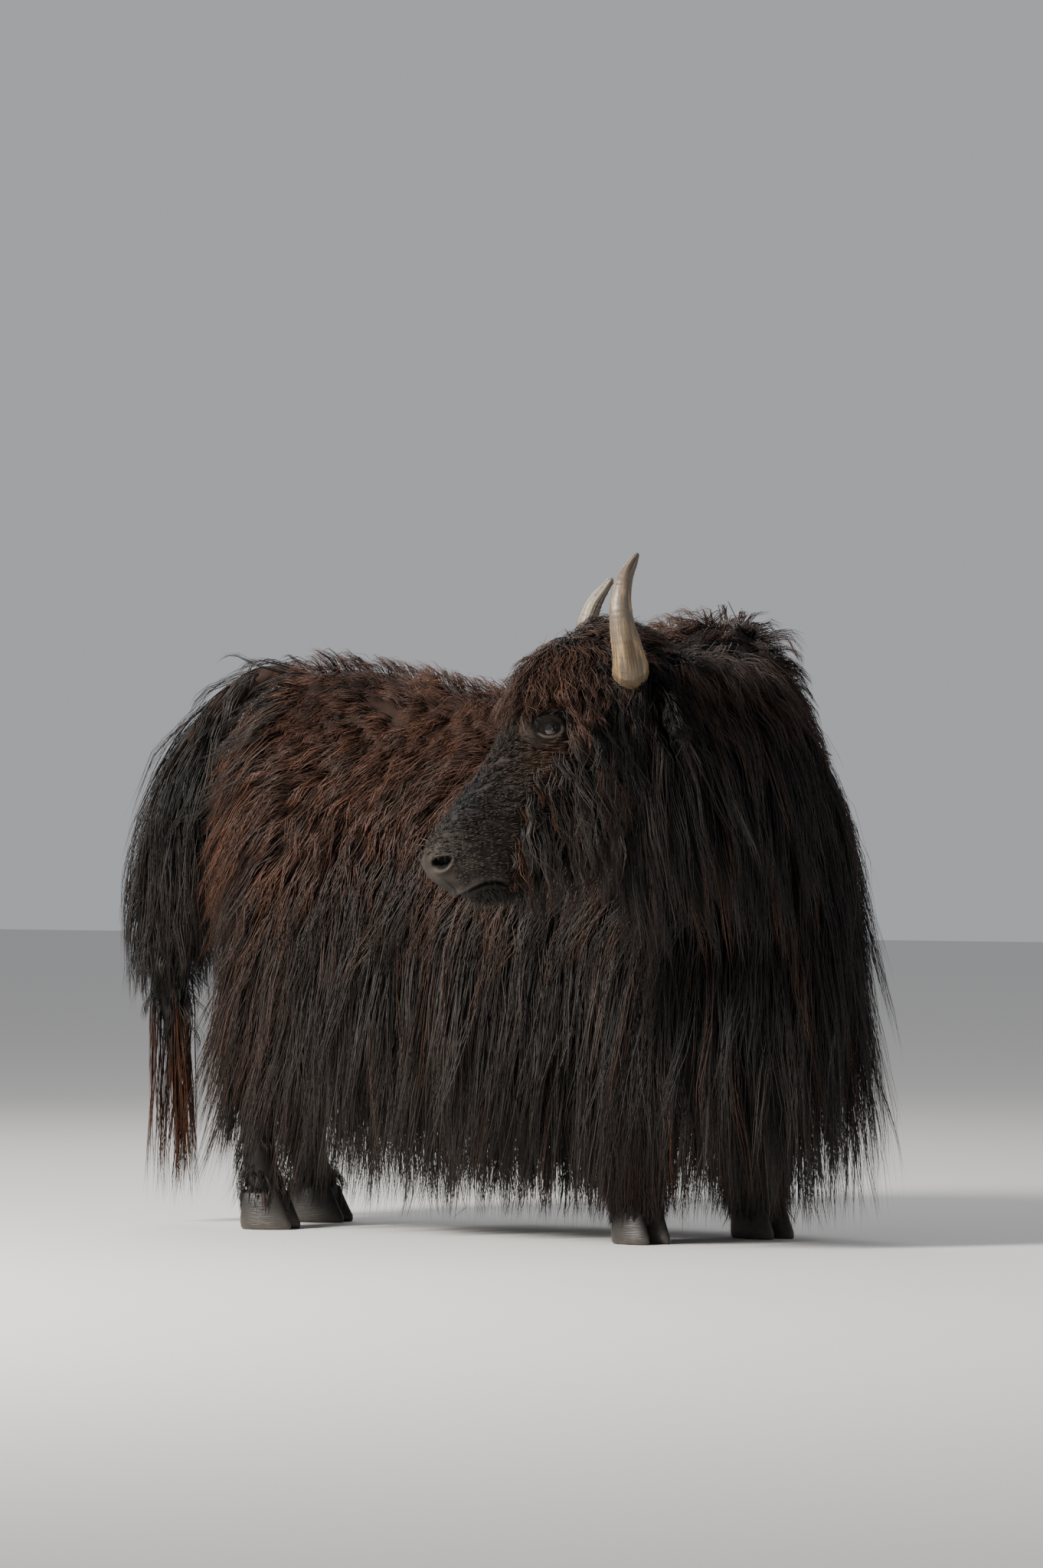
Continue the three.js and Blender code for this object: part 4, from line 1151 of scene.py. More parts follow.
# Hooves
def hoof_mesh(rows, side):
    """Two claws under a coronet and two dewclaws behind it."""
    top, s, middle, _, _ = rows[-1]
    turn = round_turns(40)
    round_ahead, round_left = np.cos(turn), np.sin(turn)
    toe = np.where(round_ahead > 0, 1 - 0.25 * round_ahead**2, 1)

    def ring(level, ahead, left, long, wide, shape=1):
        left = side * middle + left + wide * round_left * shape
        return back.beside(s + ahead + long * round_ahead, left, level)

    claw = [(0.0, 8, 52, 19), (0.6, 8, 57, 23), (5, 7, 60, 25), (14, 6, 60.5, 25.6), (28, 2.5, 57, 25)]
    claw += [(44, -0.5, 52.5, 24.2), (60, -3.5, 48.5, 23.4), (top + 4, -5.5, 45, 22), (top + 10, -6, 34, 15)]
    coronet = [(top - 34, 36, 30), (top - 22, 43, 39), (top - 4, 45, 41.5), (top + 14, 42, 39)]
    parts = []
    for left in (27, -27):
        parts.append(capped([ring(level, ahead, left, long, wide, toe) for level, ahead, long, wide in claw]))
    parts.append(capped([ring(level, -6, 0, long, wide) for level, long, wide in coronet]))
    for left in (17, -17):
        dewclaw = []
        for t in np.linspace(0, 1, 9):
            size = 13 * math.sqrt(max(1 - (t * 1.02) ** 2, 0.0)) + 0.6
            dewclaw.append(ring(top + 12 - 26 * t, -42 - 14 * t, left, size, size))
        parts.append(capped(dewclaw))
    return joined([(world(corners), *faces) for corners, *faces in parts])


for end, rows in (("fore", FORE_LEG), ("hind", HIND_LEG)):
    for name, side in SIDES.items():
        corners, *faces = hoof_mesh(rows, side)
        made = new_piece(f"claws_{end}_{name}", corners, faces, HOOF_STUFF)
        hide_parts(f"hoof_{end}_{name}")


# Eyes
def eye_mesh(side):
    rings, sides = 40, 64
    bend, turn = np.linspace(0.04, math.pi - 0.04, rings), round_turns(sides)
    r = EYE["radius"] + 1.4 * hill(bend / 0.42)
    ring = (r * np.sin(bend))[:, None]
    x, z = ring * np.cos(turn), ring * np.sin(turn)
    y = np.repeat((r * np.cos(bend))[:, None], sides, 1)
    corners, *faces = capped(on_face(EYE["along"] + x, side * (EYE["out"] + y), EYE["up"] + z))
    corners = world(corners)
    long, tall = eye_axes(x, z)
    wide = np.sqrt((long / 13.5) ** 2 + (tall / 8.5) ** 2) * 0.45
    shade = np.append(wide.ravel(), [0, 1]).clip(0, 1)
    return corners, facing_out(corners - corners.mean(0), faces), np.repeat(shade[:, None], 3, 1)


for name, side in SIDES.items():
    corners, faces, shade = eye_mesh(side)
    made = new_piece(f"eyeball_{name}", corners, faces, EYE_STUFF, shade, None, "iris")
    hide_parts(f"eye_{name}")


# Coat: locks of strands grown over the skin
def surface_tree(corners, quads, threes):
    faces = [tuple(face) for face in quads.tolist()] + [tuple(face) for face in threes.tolist()]
    return BVHTree.FromPolygons([tuple(point) for point in corners.tolist()], faces)


BODY_TREE = surface_tree(skin_corners, skin_quads, skin_threes)


def nearest(places):
    """For each place, the skin's nearest point, its outward direction there and the height above it."""
    spots, normals = np.zeros_like(places), np.zeros_like(places)
    for i, place in enumerate(places):
        spot, normal, _, _ = BODY_TREE.find_nearest(Vector(place))
        spots[i], normals[i] = spot, normal
    away = places - spots
    height = (away * normals).sum(-1)
    far = np.linalg.norm(away, axis=-1)
    outward = np.where((height > 0)[:, None] & (far > 0.004)[:, None], unit(away), normals)
    return spots, outward, np.where(height > 0, far, -far)


def sown(form, density, count, chance, reach=0.009):
    """Roots spread evenly over a form by a density, dropped where another form covers them."""
    rows, cols = 150, 120
    u = form.low + (form.high - form.low) * (np.arange(rows) + 0.5) / rows
    turn = 2 * math.pi * (np.arange(cols) + 0.5) / cols
    u, turn = [grid.ravel() for grid in np.meshgrid(u, turn, indexing="ij")]
    spots = form.place(u, turn)
    _, area = form.normal(u, turn)
    weight = area * density(u, turn, spots)
    bits = np.zeros(rows * cols, np.int64)
    r, c = np.divmod(np.arange(rows * cols), cols)
    for bit in range(8):
        bits |= ((r >> bit) & 1) << (2 * bit) | ((c >> bit) & 1) << (2 * bit + 1)
    order = np.argsort(bits)
    total = np.cumsum(weight[order])
    if total[-1] <= 0:
        raise ValueError("nothing to sow")
    pick = order[np.searchsorted(total, (np.arange(count) + chance.uniform(0, 1, count)) / count * total[-1])]
    u = u[pick] + chance.uniform(-0.5, 0.5, count) * (form.high - form.low) / rows
    turn = turn[pick] + chance.uniform(-0.5, 0.5, count) * 2 * math.pi / cols
    u = np.clip(u, form.low, form.high)
    at = world(form.place(u, turn))
    spots, normals, height = nearest(at)
    keep = np.abs(height) < reach
    return {
        "root": spots[keep],
        "normal": normals[keep],
        "u": u[keep],
        "turn": turn[keep],
        "uv": form.unwrap(u[keep], turn[keep]),
        "local": local(spots[keep]),
    }


def along_skin(direction, normal):
    return unit(direction - normal * (direction * normal).sum(-1, keepdims=True))


def swept(way, roots, angle):
    """Directions along the skin from a way over it, turned by angles about the skin's outward direction."""
    direction = along_skin(way, roots["normal"])
    across = np.cross(roots["normal"], direction)
    return direction * np.cos(angle)[:, None] + across * np.sin(angle)[:, None]


# Guide lines stay this far off the ground, in metres
GROUND_GAP = 0.03


def grown(roots, lie, fall, length, lift, height, give, steps, chance, drift=0.12):
    """Guide lines for locks: each leaves the skin along its lie, then falls and stays off the skin."""
    p, normal = roots["root"], roots["normal"]
    lift, give = [np.broadcast_to(share, len(p))[:, None] for share in (lift, give)]
    v = unit(lie * (1 - lift) + normal * lift)
    step = (length / steps)[:, None]
    sideways = chance.normal(0, drift, p.shape)
    points, normals = [p - normal * 0.003], [normal]
    for k in range(1, steps + 1):
        t = k / steps
        v = unit(v + (fall + sideways * math.sin(3.1 * t) - v) * give)
        p = p + v * step
        _, normal, above = nearest(p)
        want = height * smooth(t, 0, 0.55) + 0.002
        p = p + normal * np.maximum(want - above, 0)[:, None]
        p = p + UP * np.maximum(GROUND_GAP - p[:, 2], 0)[:, None]
        points.append(p)
        normals.append(normal)
    return np.stack(points, 1), np.stack(normals, 1)


def combed(values, t):
    """Values along guide lines, read at t from 0 to 1 for each strand."""
    last = values.shape[1] - 1
    place = np.clip(t, 0, 1) * last
    i = np.minimum(place.astype(int), last - 1)
    part = (place - i)[..., None]
    row = np.arange(len(values))[:, None]
    return values[row, i] * (1 - part) + values[row, i + 1] * part


BOX_LOW, BOX_HIGH = np.array(CAD_BOX, float)
# How far a tuft may pass the solids' box, in metres
PROUD = 0.026


def kept_in(places):
    """Places eased back where they would stand further than a tuft may beyond the solids' box."""
    over = np.maximum(places - BOX_HIGH + PROUD, 0)
    under = np.maximum(BOX_LOW + PROUD - places, 0)
    under[..., 2] = 0
    ease = 2 * PROUD
    return places - (over - ease * np.tanh(over / ease)) + (under - ease * np.tanh(under / ease))


# The looks of a lock. each: its strands. knots: points along a strand. spread, width, stray and curl: metres.
# clump: how far the strands draw together. wave: length of a wave in metres. wild: share of stray strands.
# trim: the shortest strand's share of its lock's length. root: shade at the root. vary: how far shades differ.
# brown, grey: shares of browner and of greyer locks.
LOOK = {"each": 8, "knots": 5, "clump": 0.65, "curl": 0.006, "wave": 0.12, "wild": 0.03, "stray": 0.03}
LOOK |= {"trim": 0.72, "root": 0.45, "vary": 0.26, "brown": 0.16, "grey": 0.14}


def lock_strands(lines, roots, tint, look, chance):
    """The strands of each lock: their corners, faces, colours and unwrap."""
    points, normals = lines
    count, each, knots = len(points), look["each"], look["knots"]
    owner = np.repeat(np.arange(count), each)
    total = len(owner)
    wild = chance.uniform(0, 1, total) < look["wild"]
    trim = chance.uniform(look["trim"], 1.02, total)
    t = np.linspace(0, 1, knots)[None] * trim[:, None]
    spine = combed(points[owner], t)
    outward = unit(combed(normals[owner], t))
    ahead = unit(np.gradient(spine, axis=1))
    across = unit(np.cross(outward, ahead))
    over = np.cross(ahead, across)
    spread = np.broadcast_to(look["spread"], count)[owner]
    side = (chance.normal(0, 0.55, total) * spread)[:, None]
    rise = (np.abs(chance.normal(0, 0.4, total)) * spread)[:, None]
    close = 1 - look["clump"] * smooth(t, 0.0, 0.95)
    size = np.linalg.norm(np.diff(points, axis=1), axis=-1).sum(1)[owner]
    phase = (chance.uniform(0, 2 * math.pi, count)[owner] + chance.normal(0, 0.5, total))[:, None]
    turns = size[:, None] * t / look["wave"] * 2 * math.pi + phase
    curl = look["curl"] * np.minimum(t * 2.2, 1) * np.where(wild, 1.6, 1)[:, None]
    stray = np.where(wild, chance.normal(0, 1, total), 0)[:, None] * look["stray"] * t**1.5
    lifted = rise * close + 0.6 * curl * (1 + np.cos(turns)) * 0.5 + np.abs(stray) * 0.7
    spine = spine + across * (side * close + curl * np.sin(turns) + stray)[..., None]
    spine = kept_in(spine + over * lifted[..., None])
    spine[..., 2] = np.maximum(spine[..., 2], 0.004)
    ahead = unit(np.gradient(spine, axis=1))
    across = unit(np.cross(outward, ahead))
    over = np.cross(ahead, across)
    roll = chance.normal(0, 0.3, total)[:, None, None]
    across, over = across * np.cos(roll) + over * np.sin(roll), over * np.cos(roll) - across * np.sin(roll)
    share = np.linspace(0, 1, knots)
    slim = (1 - 0.8 * share**1.7) * (0.65 + 0.35 * smooth(share, 0, 0.25))
    half = ((look["width"] / 2 * chance.uniform(0.7, 1.3, total))[:, None] * slim)[..., None]
    rings = np.stack([spine + across * half, spine + over * half * 0.55, spine - across * half], 2)[:, :-1]
    corners = np.concatenate([rings.reshape(total, -1, 3), spine[:, -1:]], 1)
    # Three sides round each strand, closed at the root and drawn to a point
    k, a, b = np.arange(knots - 2)[:, None] * 3, np.array([0, 1, 2]), np.array([1, 2, 0])
    quads = np.stack([k + a, k + b, k + b + 3, k + a + 3], -1).reshape(-1, 4)
    end = (knots - 2) * 3
    threes = np.array([[0, 2, 1], *np.stack([end + a, end + b, np.full(3, end + 3)], -1)])
    base = (np.arange(total) * corners.shape[1])[:, None, None]
    shade = chance.normal(1, look["vary"], (total, 1)).clip(0.35, 2.0)
    where = np.append(np.repeat(share[:-1], 3), 1.0)
    edges = chance.uniform(0.55, 1.6, (total, 3))
    edges = np.concatenate([np.tile(edges, (1, knots - 1)), edges[:, :1]], 1)
    darkness = look["root"] + (1.12 - look["root"]) * smooth(where, 0.0, 0.6)
    bleach = 1 + smooth(where, 0.6, 1.0)[:, None] * np.array([0.35, 0.22, 0.12])
    colours = (tint[owner] * shade)[:, None] * darkness[:, None] * bleach * edges[..., None]
    patch = np.stack([np.append(np.tile([0.0, 0.5, 1.0], knots - 1), 0.5), where], -1) * 0.003
    uv = roots["uv"][owner][:, None] + chance.uniform(-0.001, 0.001, (total, 1, 2)) + patch
    faces = (quads + base).reshape(-1, 4), (threes + base).reshape(-1, 3)
    return corners.reshape(-1, 3), *faces, colours.reshape(-1, 3), uv.reshape(-1, 2)


def coat_piece(name, *batches):
    """One piece of the coat from batches of locks."""
    corners, *faces = gathered([batch[:3] for batch in batches])
    tints, places = [np.concatenate([batch[k] for batch in batches]) for k in (3, 4)]
    new_piece(name, corners, faces, HAIR, tints.clip(0.001, 1), places)


def body_guides(roots):
    """Where each root is on the body: along the back, its level, and the ways back and down from it."""
    s, _ = back.locate(roots["local"])
    rearward = -back.ahead(s)
    rear, down = [along_skin(way, roots["normal"]) for way in (rearward, DOWN + rearward * 0.02)]
    return s, roots["local"][:, 2], rear, down, rearward


def lock_tint(roots, chance, brown=LOOK["brown"], grey=LOOK["grey"]):
    """A colour for each lock: the coat's ground with some browner and some greyer locks."""
    base = coat_colour(roots["root"])
    n = len(base)
    pick = chance.uniform(0, 1, n)[:, None]
    colour = base * chance.uniform(0.65, 1.45, (n, 1))
    colour = np.where(pick < brown, colour * 0.45 + BROWN * 0.75, colour)
    return np.where(pick > 1 - grey, colour * 0.5 + GREY * 0.75, colour)


def trunk_locks(pick, count, seed, look, length, height, sweep, lift, give, swirl, steps=9):
    """Locks on the trunk where pick allows them; length and sweep go by places along the back and levels."""
    chance = np.random.default_rng(seed)
    roots = sown(trunk, lambda s, turn, q: pick(s, turn, q[:, 2]), count, chance)
    s, level, rear, down, rearward = body_guides(roots)
    n = len(s)
    angle = swirl * wander(roots["root"], 3.2, seed + 1) + chance.normal(0, 0.18, n)
    ways = np.broadcast_to(sweep(s, level), n)[:, None]
    lie = swept(rear * ways + down * (1 - ways), roots, angle)
    fall = unit(DOWN + rearward * (0.55 * ways) + roots["normal"] * 0.05)
    long = length(s, level) * chance.uniform(0.82, 1.12, n) * MM
    lumps = 0.85 + 0.45 * wander(roots["root"], 2.2, seed + 2)
    tall = height * chance.uniform(0.15, 1.0, n) ** 0.7 * lumps * MM
    lines = grown(roots, lie, fall, long, lift, tall, give, steps, chance)
    return lock_strands(lines, roots, lock_tint(roots, chance, look["brown"], look["grey"]), look, chance)


def on_side(turn, side):
    return (np.cos(turn) * side > 0).astype(float)


def curtain(s, level):
    """Lengths that bring locks down to the skirt's hem."""
    return np.clip(level + 18, 150, 545) * (1 - 0.18 * smooth(level, 640, 800))


def make_back():
    def pick(s, turn, level):
        return smooth(level, 930, 1010) * (s < 1330)

    def length(s, level):
        return 62 + 50 * smooth(-level, -1080, -930)

    def sweep(s, level):
        return 0.6 + 0.2 * smooth(level, 1050, 1150)

    look = LOOK | dict(each=10, knots=4, spread=0.018, width=0.0024, clump=0.15, wave=0.06)
    look |= dict(wild=0.05, stray=0.012, root=0.5, brown=0.3)
    coat_piece("back_wool", trunk_locks(pick, 1070, 101, look, length, 36, sweep, 0.36, 0.14, 1.0, 6))


def make_flank(name, side):
    def pick(s, turn, level):
        return on_side(turn, side) * smooth(level, 660, 740) * smooth(-level, -1040, -960) * (s < 1340)

    def length(s, level):
        return 125 + 130 * smooth(-level, -950, -720)

    def sweep(s, level):
        return 0.3 + 0.3 * smooth(level, 850, 1000) + 0.2 * smooth(-s, -250, 50)

    look = LOOK | dict(spread=0.02, width=0.0027, clump=0.35, curl=0.007, wave=0.11, wild=0.04, stray=0.015)
    locks = trunk_locks(pick, 640, 110 + side, look, length, 46, sweep, 0.32, 0.25, 0.8)
    coat_piece(f"flank_{name}", locks)


def make_rump():
    """Long hair that sweeps back and down from the rump and thighs to the tail."""

    def pick(s, turn, level):
        return smooth(-s, -90, 20) * smooth(level, 520, 640) * smooth(-level, -1180, -1120)

    look = LOOK | dict(spread=0.022, width=0.0026, clump=0.45, curl=0.009, wave=0.13)
    look |= dict(wild=0.05, stray=0.02, brown=0.12)
    locks = trunk_locks(pick, 330, 145, look, lambda s, level: 230, 70, lambda s, level: 0.4, 0.5, 0.2, 0.4)
    coat_piece("rump_hair", locks)


def make_skirt(name, side):
    def pick(s, turn, level):
        low_down = smooth(-level, -800, -700) * (0.6 + 0.4 * smooth(level, 400, 560))
        return on_side(turn, side) * low_down * (s < 1230)

    def sweep(s, level):
        return 0.06 + 0.35 * smooth(-s, -260, 20)

    look = LOOK | dict(spread=0.024, width=0.0028, clump=0.38, wave=0.21)
    look |= dict(wild=0.04, stray=0.02, trim=0.68, brown=0.06, grey=0.4)
    locks = trunk_locks(pick, 690, 120 + side, look, curtain, 44, sweep, 0.25, 0.4, 0.22)
    coat_piece(f"skirt_{name}", locks)


def make_chest():
    def pick(s, turn, level):
        return (s > 1180) * smooth(-level, -1180, -1080)

    look = LOOK | dict(each=9, spread=0.022, width=0.0025, clump=0.42, curl=0.007, wave=0.2)
    look |= dict(wild=0.05, stray=0.02, trim=0.6)
    locks = trunk_locks(pick, 680, 131, look, curtain, 44, lambda s, level: 0.0, 0.28, 0.38, 0.25)
    coat_piece("chest_hair", locks)


def make_hump():
    chance = np.random.default_rng(141)
    roots = sown(hump, lambda u, turn, q: (q[:, 2] > 1120).astype(float), 400, chance)
    s, _, rear, down, rearward = body_guides(roots)
    n = len(s)
    angle = 1.2 * wander(roots["root"], 5.0, 142) + chance.normal(0, 0.3, n)
    lie = swept(rear * 0.3 + down * 0.8, roots, angle)
    long = chance.uniform(70, 115, n) * MM
    tall = chance.uniform(0.3, 1, n) * 56 * MM
    lines = grown(roots, lie, unit(DOWN + rearward * 0.2), long, 0.55, tall, 0.2, 7, chance, 0.3)
    look = LOOK | dict(each=10, spread=0.014, width=0.0024, clump=0.35, curl=0.007, wave=0.06)
    look |= dict(wild=0.1, stray=0.014)
    coat_piece("hump_mop", lock_strands(lines, roots, lock_tint(roots, chance, 0.4), look, chance))


def make_mane():
    chance = np.random.default_rng(151)

    def density(s, turn, q):
        return (s > 1060) * smooth(q[:, 2], 740, 860) * (0.6 + 0.6 * smooth(q[:, 2], 1000, 1200))

    roots = sown(neck, density, 740, chance)
    s, side = nape.locate(roots["local"])
    level = roots["local"][:, 2]
    rearward = -nape.ahead(s)
    n = len(s)
    away = along_skin(nape.left(s) * np.sign(side)[:, None] + DOWN * 0.3, roots["normal"])
    top = smooth(level, 1060, 1130)
    swirl = (0.15 + 0.35 * top) * chance.normal(0, 1, n)
    swirl = swirl + (0.25 + 0.9 * top) * wander(roots["root"], 4.0, 152)
    lie = swept(DOWN + away * 0.3 + rearward * 0.15, roots, swirl)
    fall = unit(DOWN + rearward * 0.10)
    long = np.clip(level - 540, 190, 380) * (1 - 0.6 * top) * chance.uniform(0.8, 1.1, n) * MM
    tall = chance.uniform(0.15, 1, n) * (40 - 4 * top) * MM
    lines = grown(roots, lie, fall, long, 0.3 + 0.15 * top, tall, 0.3 - 0.1 * top, 9, chance)
    look = LOOK | dict(spread=0.019, width=0.0025, clump=0.4, curl=0.005, wave=0.2)
    look |= dict(wild=0.05, stray=0.016, trim=0.65)
    woolly = top * chance.uniform(0.3, 1.0, n)
    tint = tinted(lock_tint(roots, chance, 0.12), BLACK * 0.5 + BROWN * 0.6, woolly)
    coat_piece("mane", lock_strands(lines, roots, tint, look, chance))


def towards_tip(form, roots, step):
    """Ways along a form to its tip, from the roots on it."""
    u, turn = roots["u"], roots["turn"]
    return unit(form.place(np.minimum(u + step, 1), turn) - form.place(u - step, turn))


def make_tail():
    """The tail's brush with thin wisps at its end, and the hair of the rump that falls over its root."""
    chance = np.random.default_rng(161)

    def density(u, turn, q):
        return 0.55 + 0.9 * smooth(u, 0.1, 0.5) * (u < 0.97)

    roots = sown(tail_form, density, 370, chance, 0.02)
    u, level = roots["u"], roots["local"][:, 2]
    n = len(u)
    lie = along_skin(towards_tip(tail_form, roots, 0.03), roots["normal"])
    fall = unit(DOWN + np.where((u < 0.35)[:, None], -back.ahead(np.full(n, -100.0)) * 0.35, 0))
    fluff = smooth(-u, -0.4, -0.12)
    wisp = (level < 600) & (chance.uniform(0, 1, n) < 0.4)
    stop = np.where(wisp, 15, 470) + chance.uniform(-20, 130, n) * np.where(wisp, 0.5, 1)
    long = np.clip(level - stop, 70, 400) * (1 - fluff) + chance.uniform(90, 150, n) * fluff
    long = np.where(wisp, level - stop, long) * MM
    tall = chance.uniform(0.1, 1, n) * (26 + 14 * fluff + 26 * np.sin(math.pi * np.clip(u, 0, 1))) * MM
    tall = np.where(wisp, 0.004, tall)
    lines = grown(roots, lie, fall, long, 0.15 + 0.22 * fluff, tall, 0.35, 10, chance, 0.08)
    look = LOOK | dict(each=9, width=0.0023, clump=0.4, wave=0.17, wild=0.06, stray=0.018)
    tint = np.where(chance.uniform(0, 1, n)[:, None] < 0.55, GREY * 0.85, BLACK)
    tint = tint * chance.uniform(0.6, 1.6, (n, 1))
    tint = np.where(wisp[:, None], RED * 0.42 * chance.uniform(0.6, 1.3, (n, 1)), tint)
    brush = lock_strands(lines, roots, tint, look | {"spread": np.where(wisp, 0.006, 0.015)}, chance)

    root_across = tail_form.place(np.array([0.05]), np.array([0.0]))[0, 0]

    def by_the_root(s, turn, q):
        away = np.hypot(q[:, 0] - root_across, (q[:, 2] - 1130) * 0.8)
        return smooth(-s, -70, 10) * smooth(-away, -260, -150)

    roots = sown(trunk, by_the_root, 150, chance)
    s, _, rear, down, rearward = body_guides(roots)
    n = len(s)
    lie = swept(rear + down * 0.4, roots, chance.normal(0, 0.3, n))
    long = chance.uniform(120, 210, n) * MM
    tall = chance.uniform(0.2, 1, n) * 66 * MM
    lines = grown(roots, lie, unit(rearward + DOWN * 0.9), long, 0.6, tall, 0.25, 8, chance, 0.15)
    tint = BLACK * 0.7 + GREY * 0.4 * chance.uniform(0.4, 1.6, (n, 1))
    over_root = lock_strands(lines, roots, tint, look | {"spread": 0.016, "curl": 0.009}, chance)
    coat_piece("tail_hair", brush, over_root)


# Leg hair: its top level, the number of locks, between which levels it grows long, and how long it gets
LEG_HAIR = {"fore": (560, 480, 110, 330, 260), "hind": (660, 400, 200, 360, 120)}


def make_legs():
    for (end, name), form in legs.items():
        chance = np.random.default_rng(170 + 3 * len(end + name) + (end == "fore"))
        top, count, first, full, feather = LEG_HAIR[end]

        def density(level, turn, q):
            thicker = 1.2 * smooth(-level, -340, -260) if end == "fore" else 1.2 * smooth(level, 200, 400)
            thicker = 1 + thicker + 1.5 * smooth(-level, -140, -100)
            return smooth(-level, -top, -top + 60) * (level > 66) * thicker

        roots = sown(form, density, count, chance)
        level = roots["local"][:, 2]
        n = len(level)
        rearward = -back.ahead(back.locate(roots["local"])[0])
        lie = swept(DOWN + rearward * 0.12, roots, chance.normal(0, 0.2, n))
        behind = smooth((roots["normal"] * rearward).sum(-1), 0.0, 0.8)
        upper = smooth(level, first, full)
        cuff = smooth(-level, -150, -100)
        long = 32 + 30 * behind + 30 * cuff + upper * (feather + 60 * behind)
        long = long * chance.uniform(0.75, 1.2, n) * MM
        long = np.maximum(np.minimum(long, (level - 22) * MM), 0.012)
        tall = (5 + 8 * behind + 12 * cuff + 24 * upper) * chance.uniform(0.2, 1, n) * MM
        fall = unit(DOWN + rearward * 0.08)
        lines = grown(roots, lie, fall, long, 0.12 + 0.15 * upper, tall, 0.35, 6, chance)
        look = LOOK | dict(each=6, knots=4, spread=0.016, width=0.0024, clump=0.35, curl=0.005)
        tint = lock_tint(roots, chance, 0.2)
        if end == "fore":
            warm = upper[:, None] * 0.6
            tint = tint * (1 - warm) + RED * 0.4 * warm * chance.uniform(0.5, 1.4, (n, 1))
        coat_piece(f"leg_hair_{end}_{name}", lock_strands(lines, roots, tint, look, chance))


def face_place(along, turn):
    return on_face(*face_relief(head_places(along, turn)).T)


head_form = Form(face_place, -60.0, 562.0, (0.12, 0.55, 0.5, 1.0))


def face_roots(count, density, chance):
    """Roots on the head by a density of the places' own along, left and up, with these for each root."""
    roots = sown(head_form, lambda u, turn, q: density(*in_face(q)), count, chance, 0.006)
    return roots, *in_face(roots["local"])


def face_way(along, left, up):
    """A direction given in the face's own frame, in the shared frame."""
    return unit(stack(along, left, up) @ FACE_AXES.T)


def clear_of_eye(along, out, up, margin=1.0):
    x, z = eye_axes(along - EYE["along"], up - EYE["up"])
    near = np.sqrt((x / (30 * margin)) ** 2 + (z / (20 * margin)) ** 2)
    return np.where(out > 55, smooth(near, 0.95, 1.1), 1.0)


def parted(lines):
    """Locks cut short where they would hang over an eye."""
    points, normals = lines
    along, left, up = in_face(local(points.reshape(-1, 3)))
    inside = clear_of_eye(along, np.abs(left), up, 1.25).reshape(points.shape[:2]) < 0.5
    last = points.shape[1] - 1
    first = np.where(inside.any(1), np.argmax(inside, 1), last + 1)
    share = np.clip((first - 1.4) / last, 0.12, 1.0)
    t = np.linspace(0, 1, last + 1)[None] * share[:, None]
    return combed(points, t), combed(normals, t)


def make_face():
    """Short hair on the bridge, round the eyes and on the muzzle."""
    chance = np.random.default_rng(181)

    def density(along, left, up):
        out = np.abs(left)
        away, where = over_line(along, up, MOUTH_LINE)
        lips = np.where(where < 5.4, smooth(np.abs(away), 6, 11), 1.0)
        ring = np.hypot(along - NOSTRIL["along"], up - NOSTRIL["up"])
        nostrils = np.where(out > 20, smooth(ring, 15, 21), 1.0)
        thick = 1 + 1.5 * smooth(along, 120, 300)
        return clear_of_eye(along, out, up) * lips * nostrils * thick * (along < 552)

    roots, along, left, up = face_roots(2900, density, chance)
    n, out = len(along), np.abs(left)
    # The hair grows back from the muzzle along the face, down on the jaw
    low = smooth(-up, 0, 70)
    way = face_way(-1 + 0.3 * low, np.sign(left) * 0.25, -0.35 - 0.9 * low)
    swirl = chance.normal(0, 0.18, n) + 0.15 * wander(roots["root"], 9.0, 182)
    lie = swept(way, roots, swirl)
    muzzle = smooth(along, 430, 520)
    upper = smooth(-along, -380, -230) * smooth(out, 15, 50)
    long = (24 * (1 - muzzle) + 10 * muzzle + 30 * upper) * chance.uniform(0.7, 1.3, n) * MM
    tall = (3.6 * (1 - muzzle) + 1.6 * muzzle + 8 * upper) * chance.uniform(0.3, 1, n) * MM
    chin = smooth(-over_line(along, up, MOUTH_LINE)[0], 4, 16) * smooth(along, 400, 470)
    long = long + 16 * MM * chin * chance.uniform(0.5, 1.2, n)
    tall = tall + 3 * MM * chin
    fall = unit(way * (0.6 - 0.5 * chin[:, None]) + DOWN * (0.4 + 0.8 * chin[:, None]))
    rise = 0.16 - 0.06 * muzzle + 0.2 * chin
    lines = parted(grown(roots, lie, fall, long, rise, tall, 0.25, 4, chance, 0.1))
    tint = face_colour(roots["root"]) * chance.uniform(0.85, 1.3, (n, 1))
    look = LOOK | dict(each=4, knots=3, spread=0.008, width=0.0021, clump=0.0, curl=0.0, root=0.9, vary=0.12)
    coat_piece("face_hair", lock_strands(lines, roots, tint, look, chance))


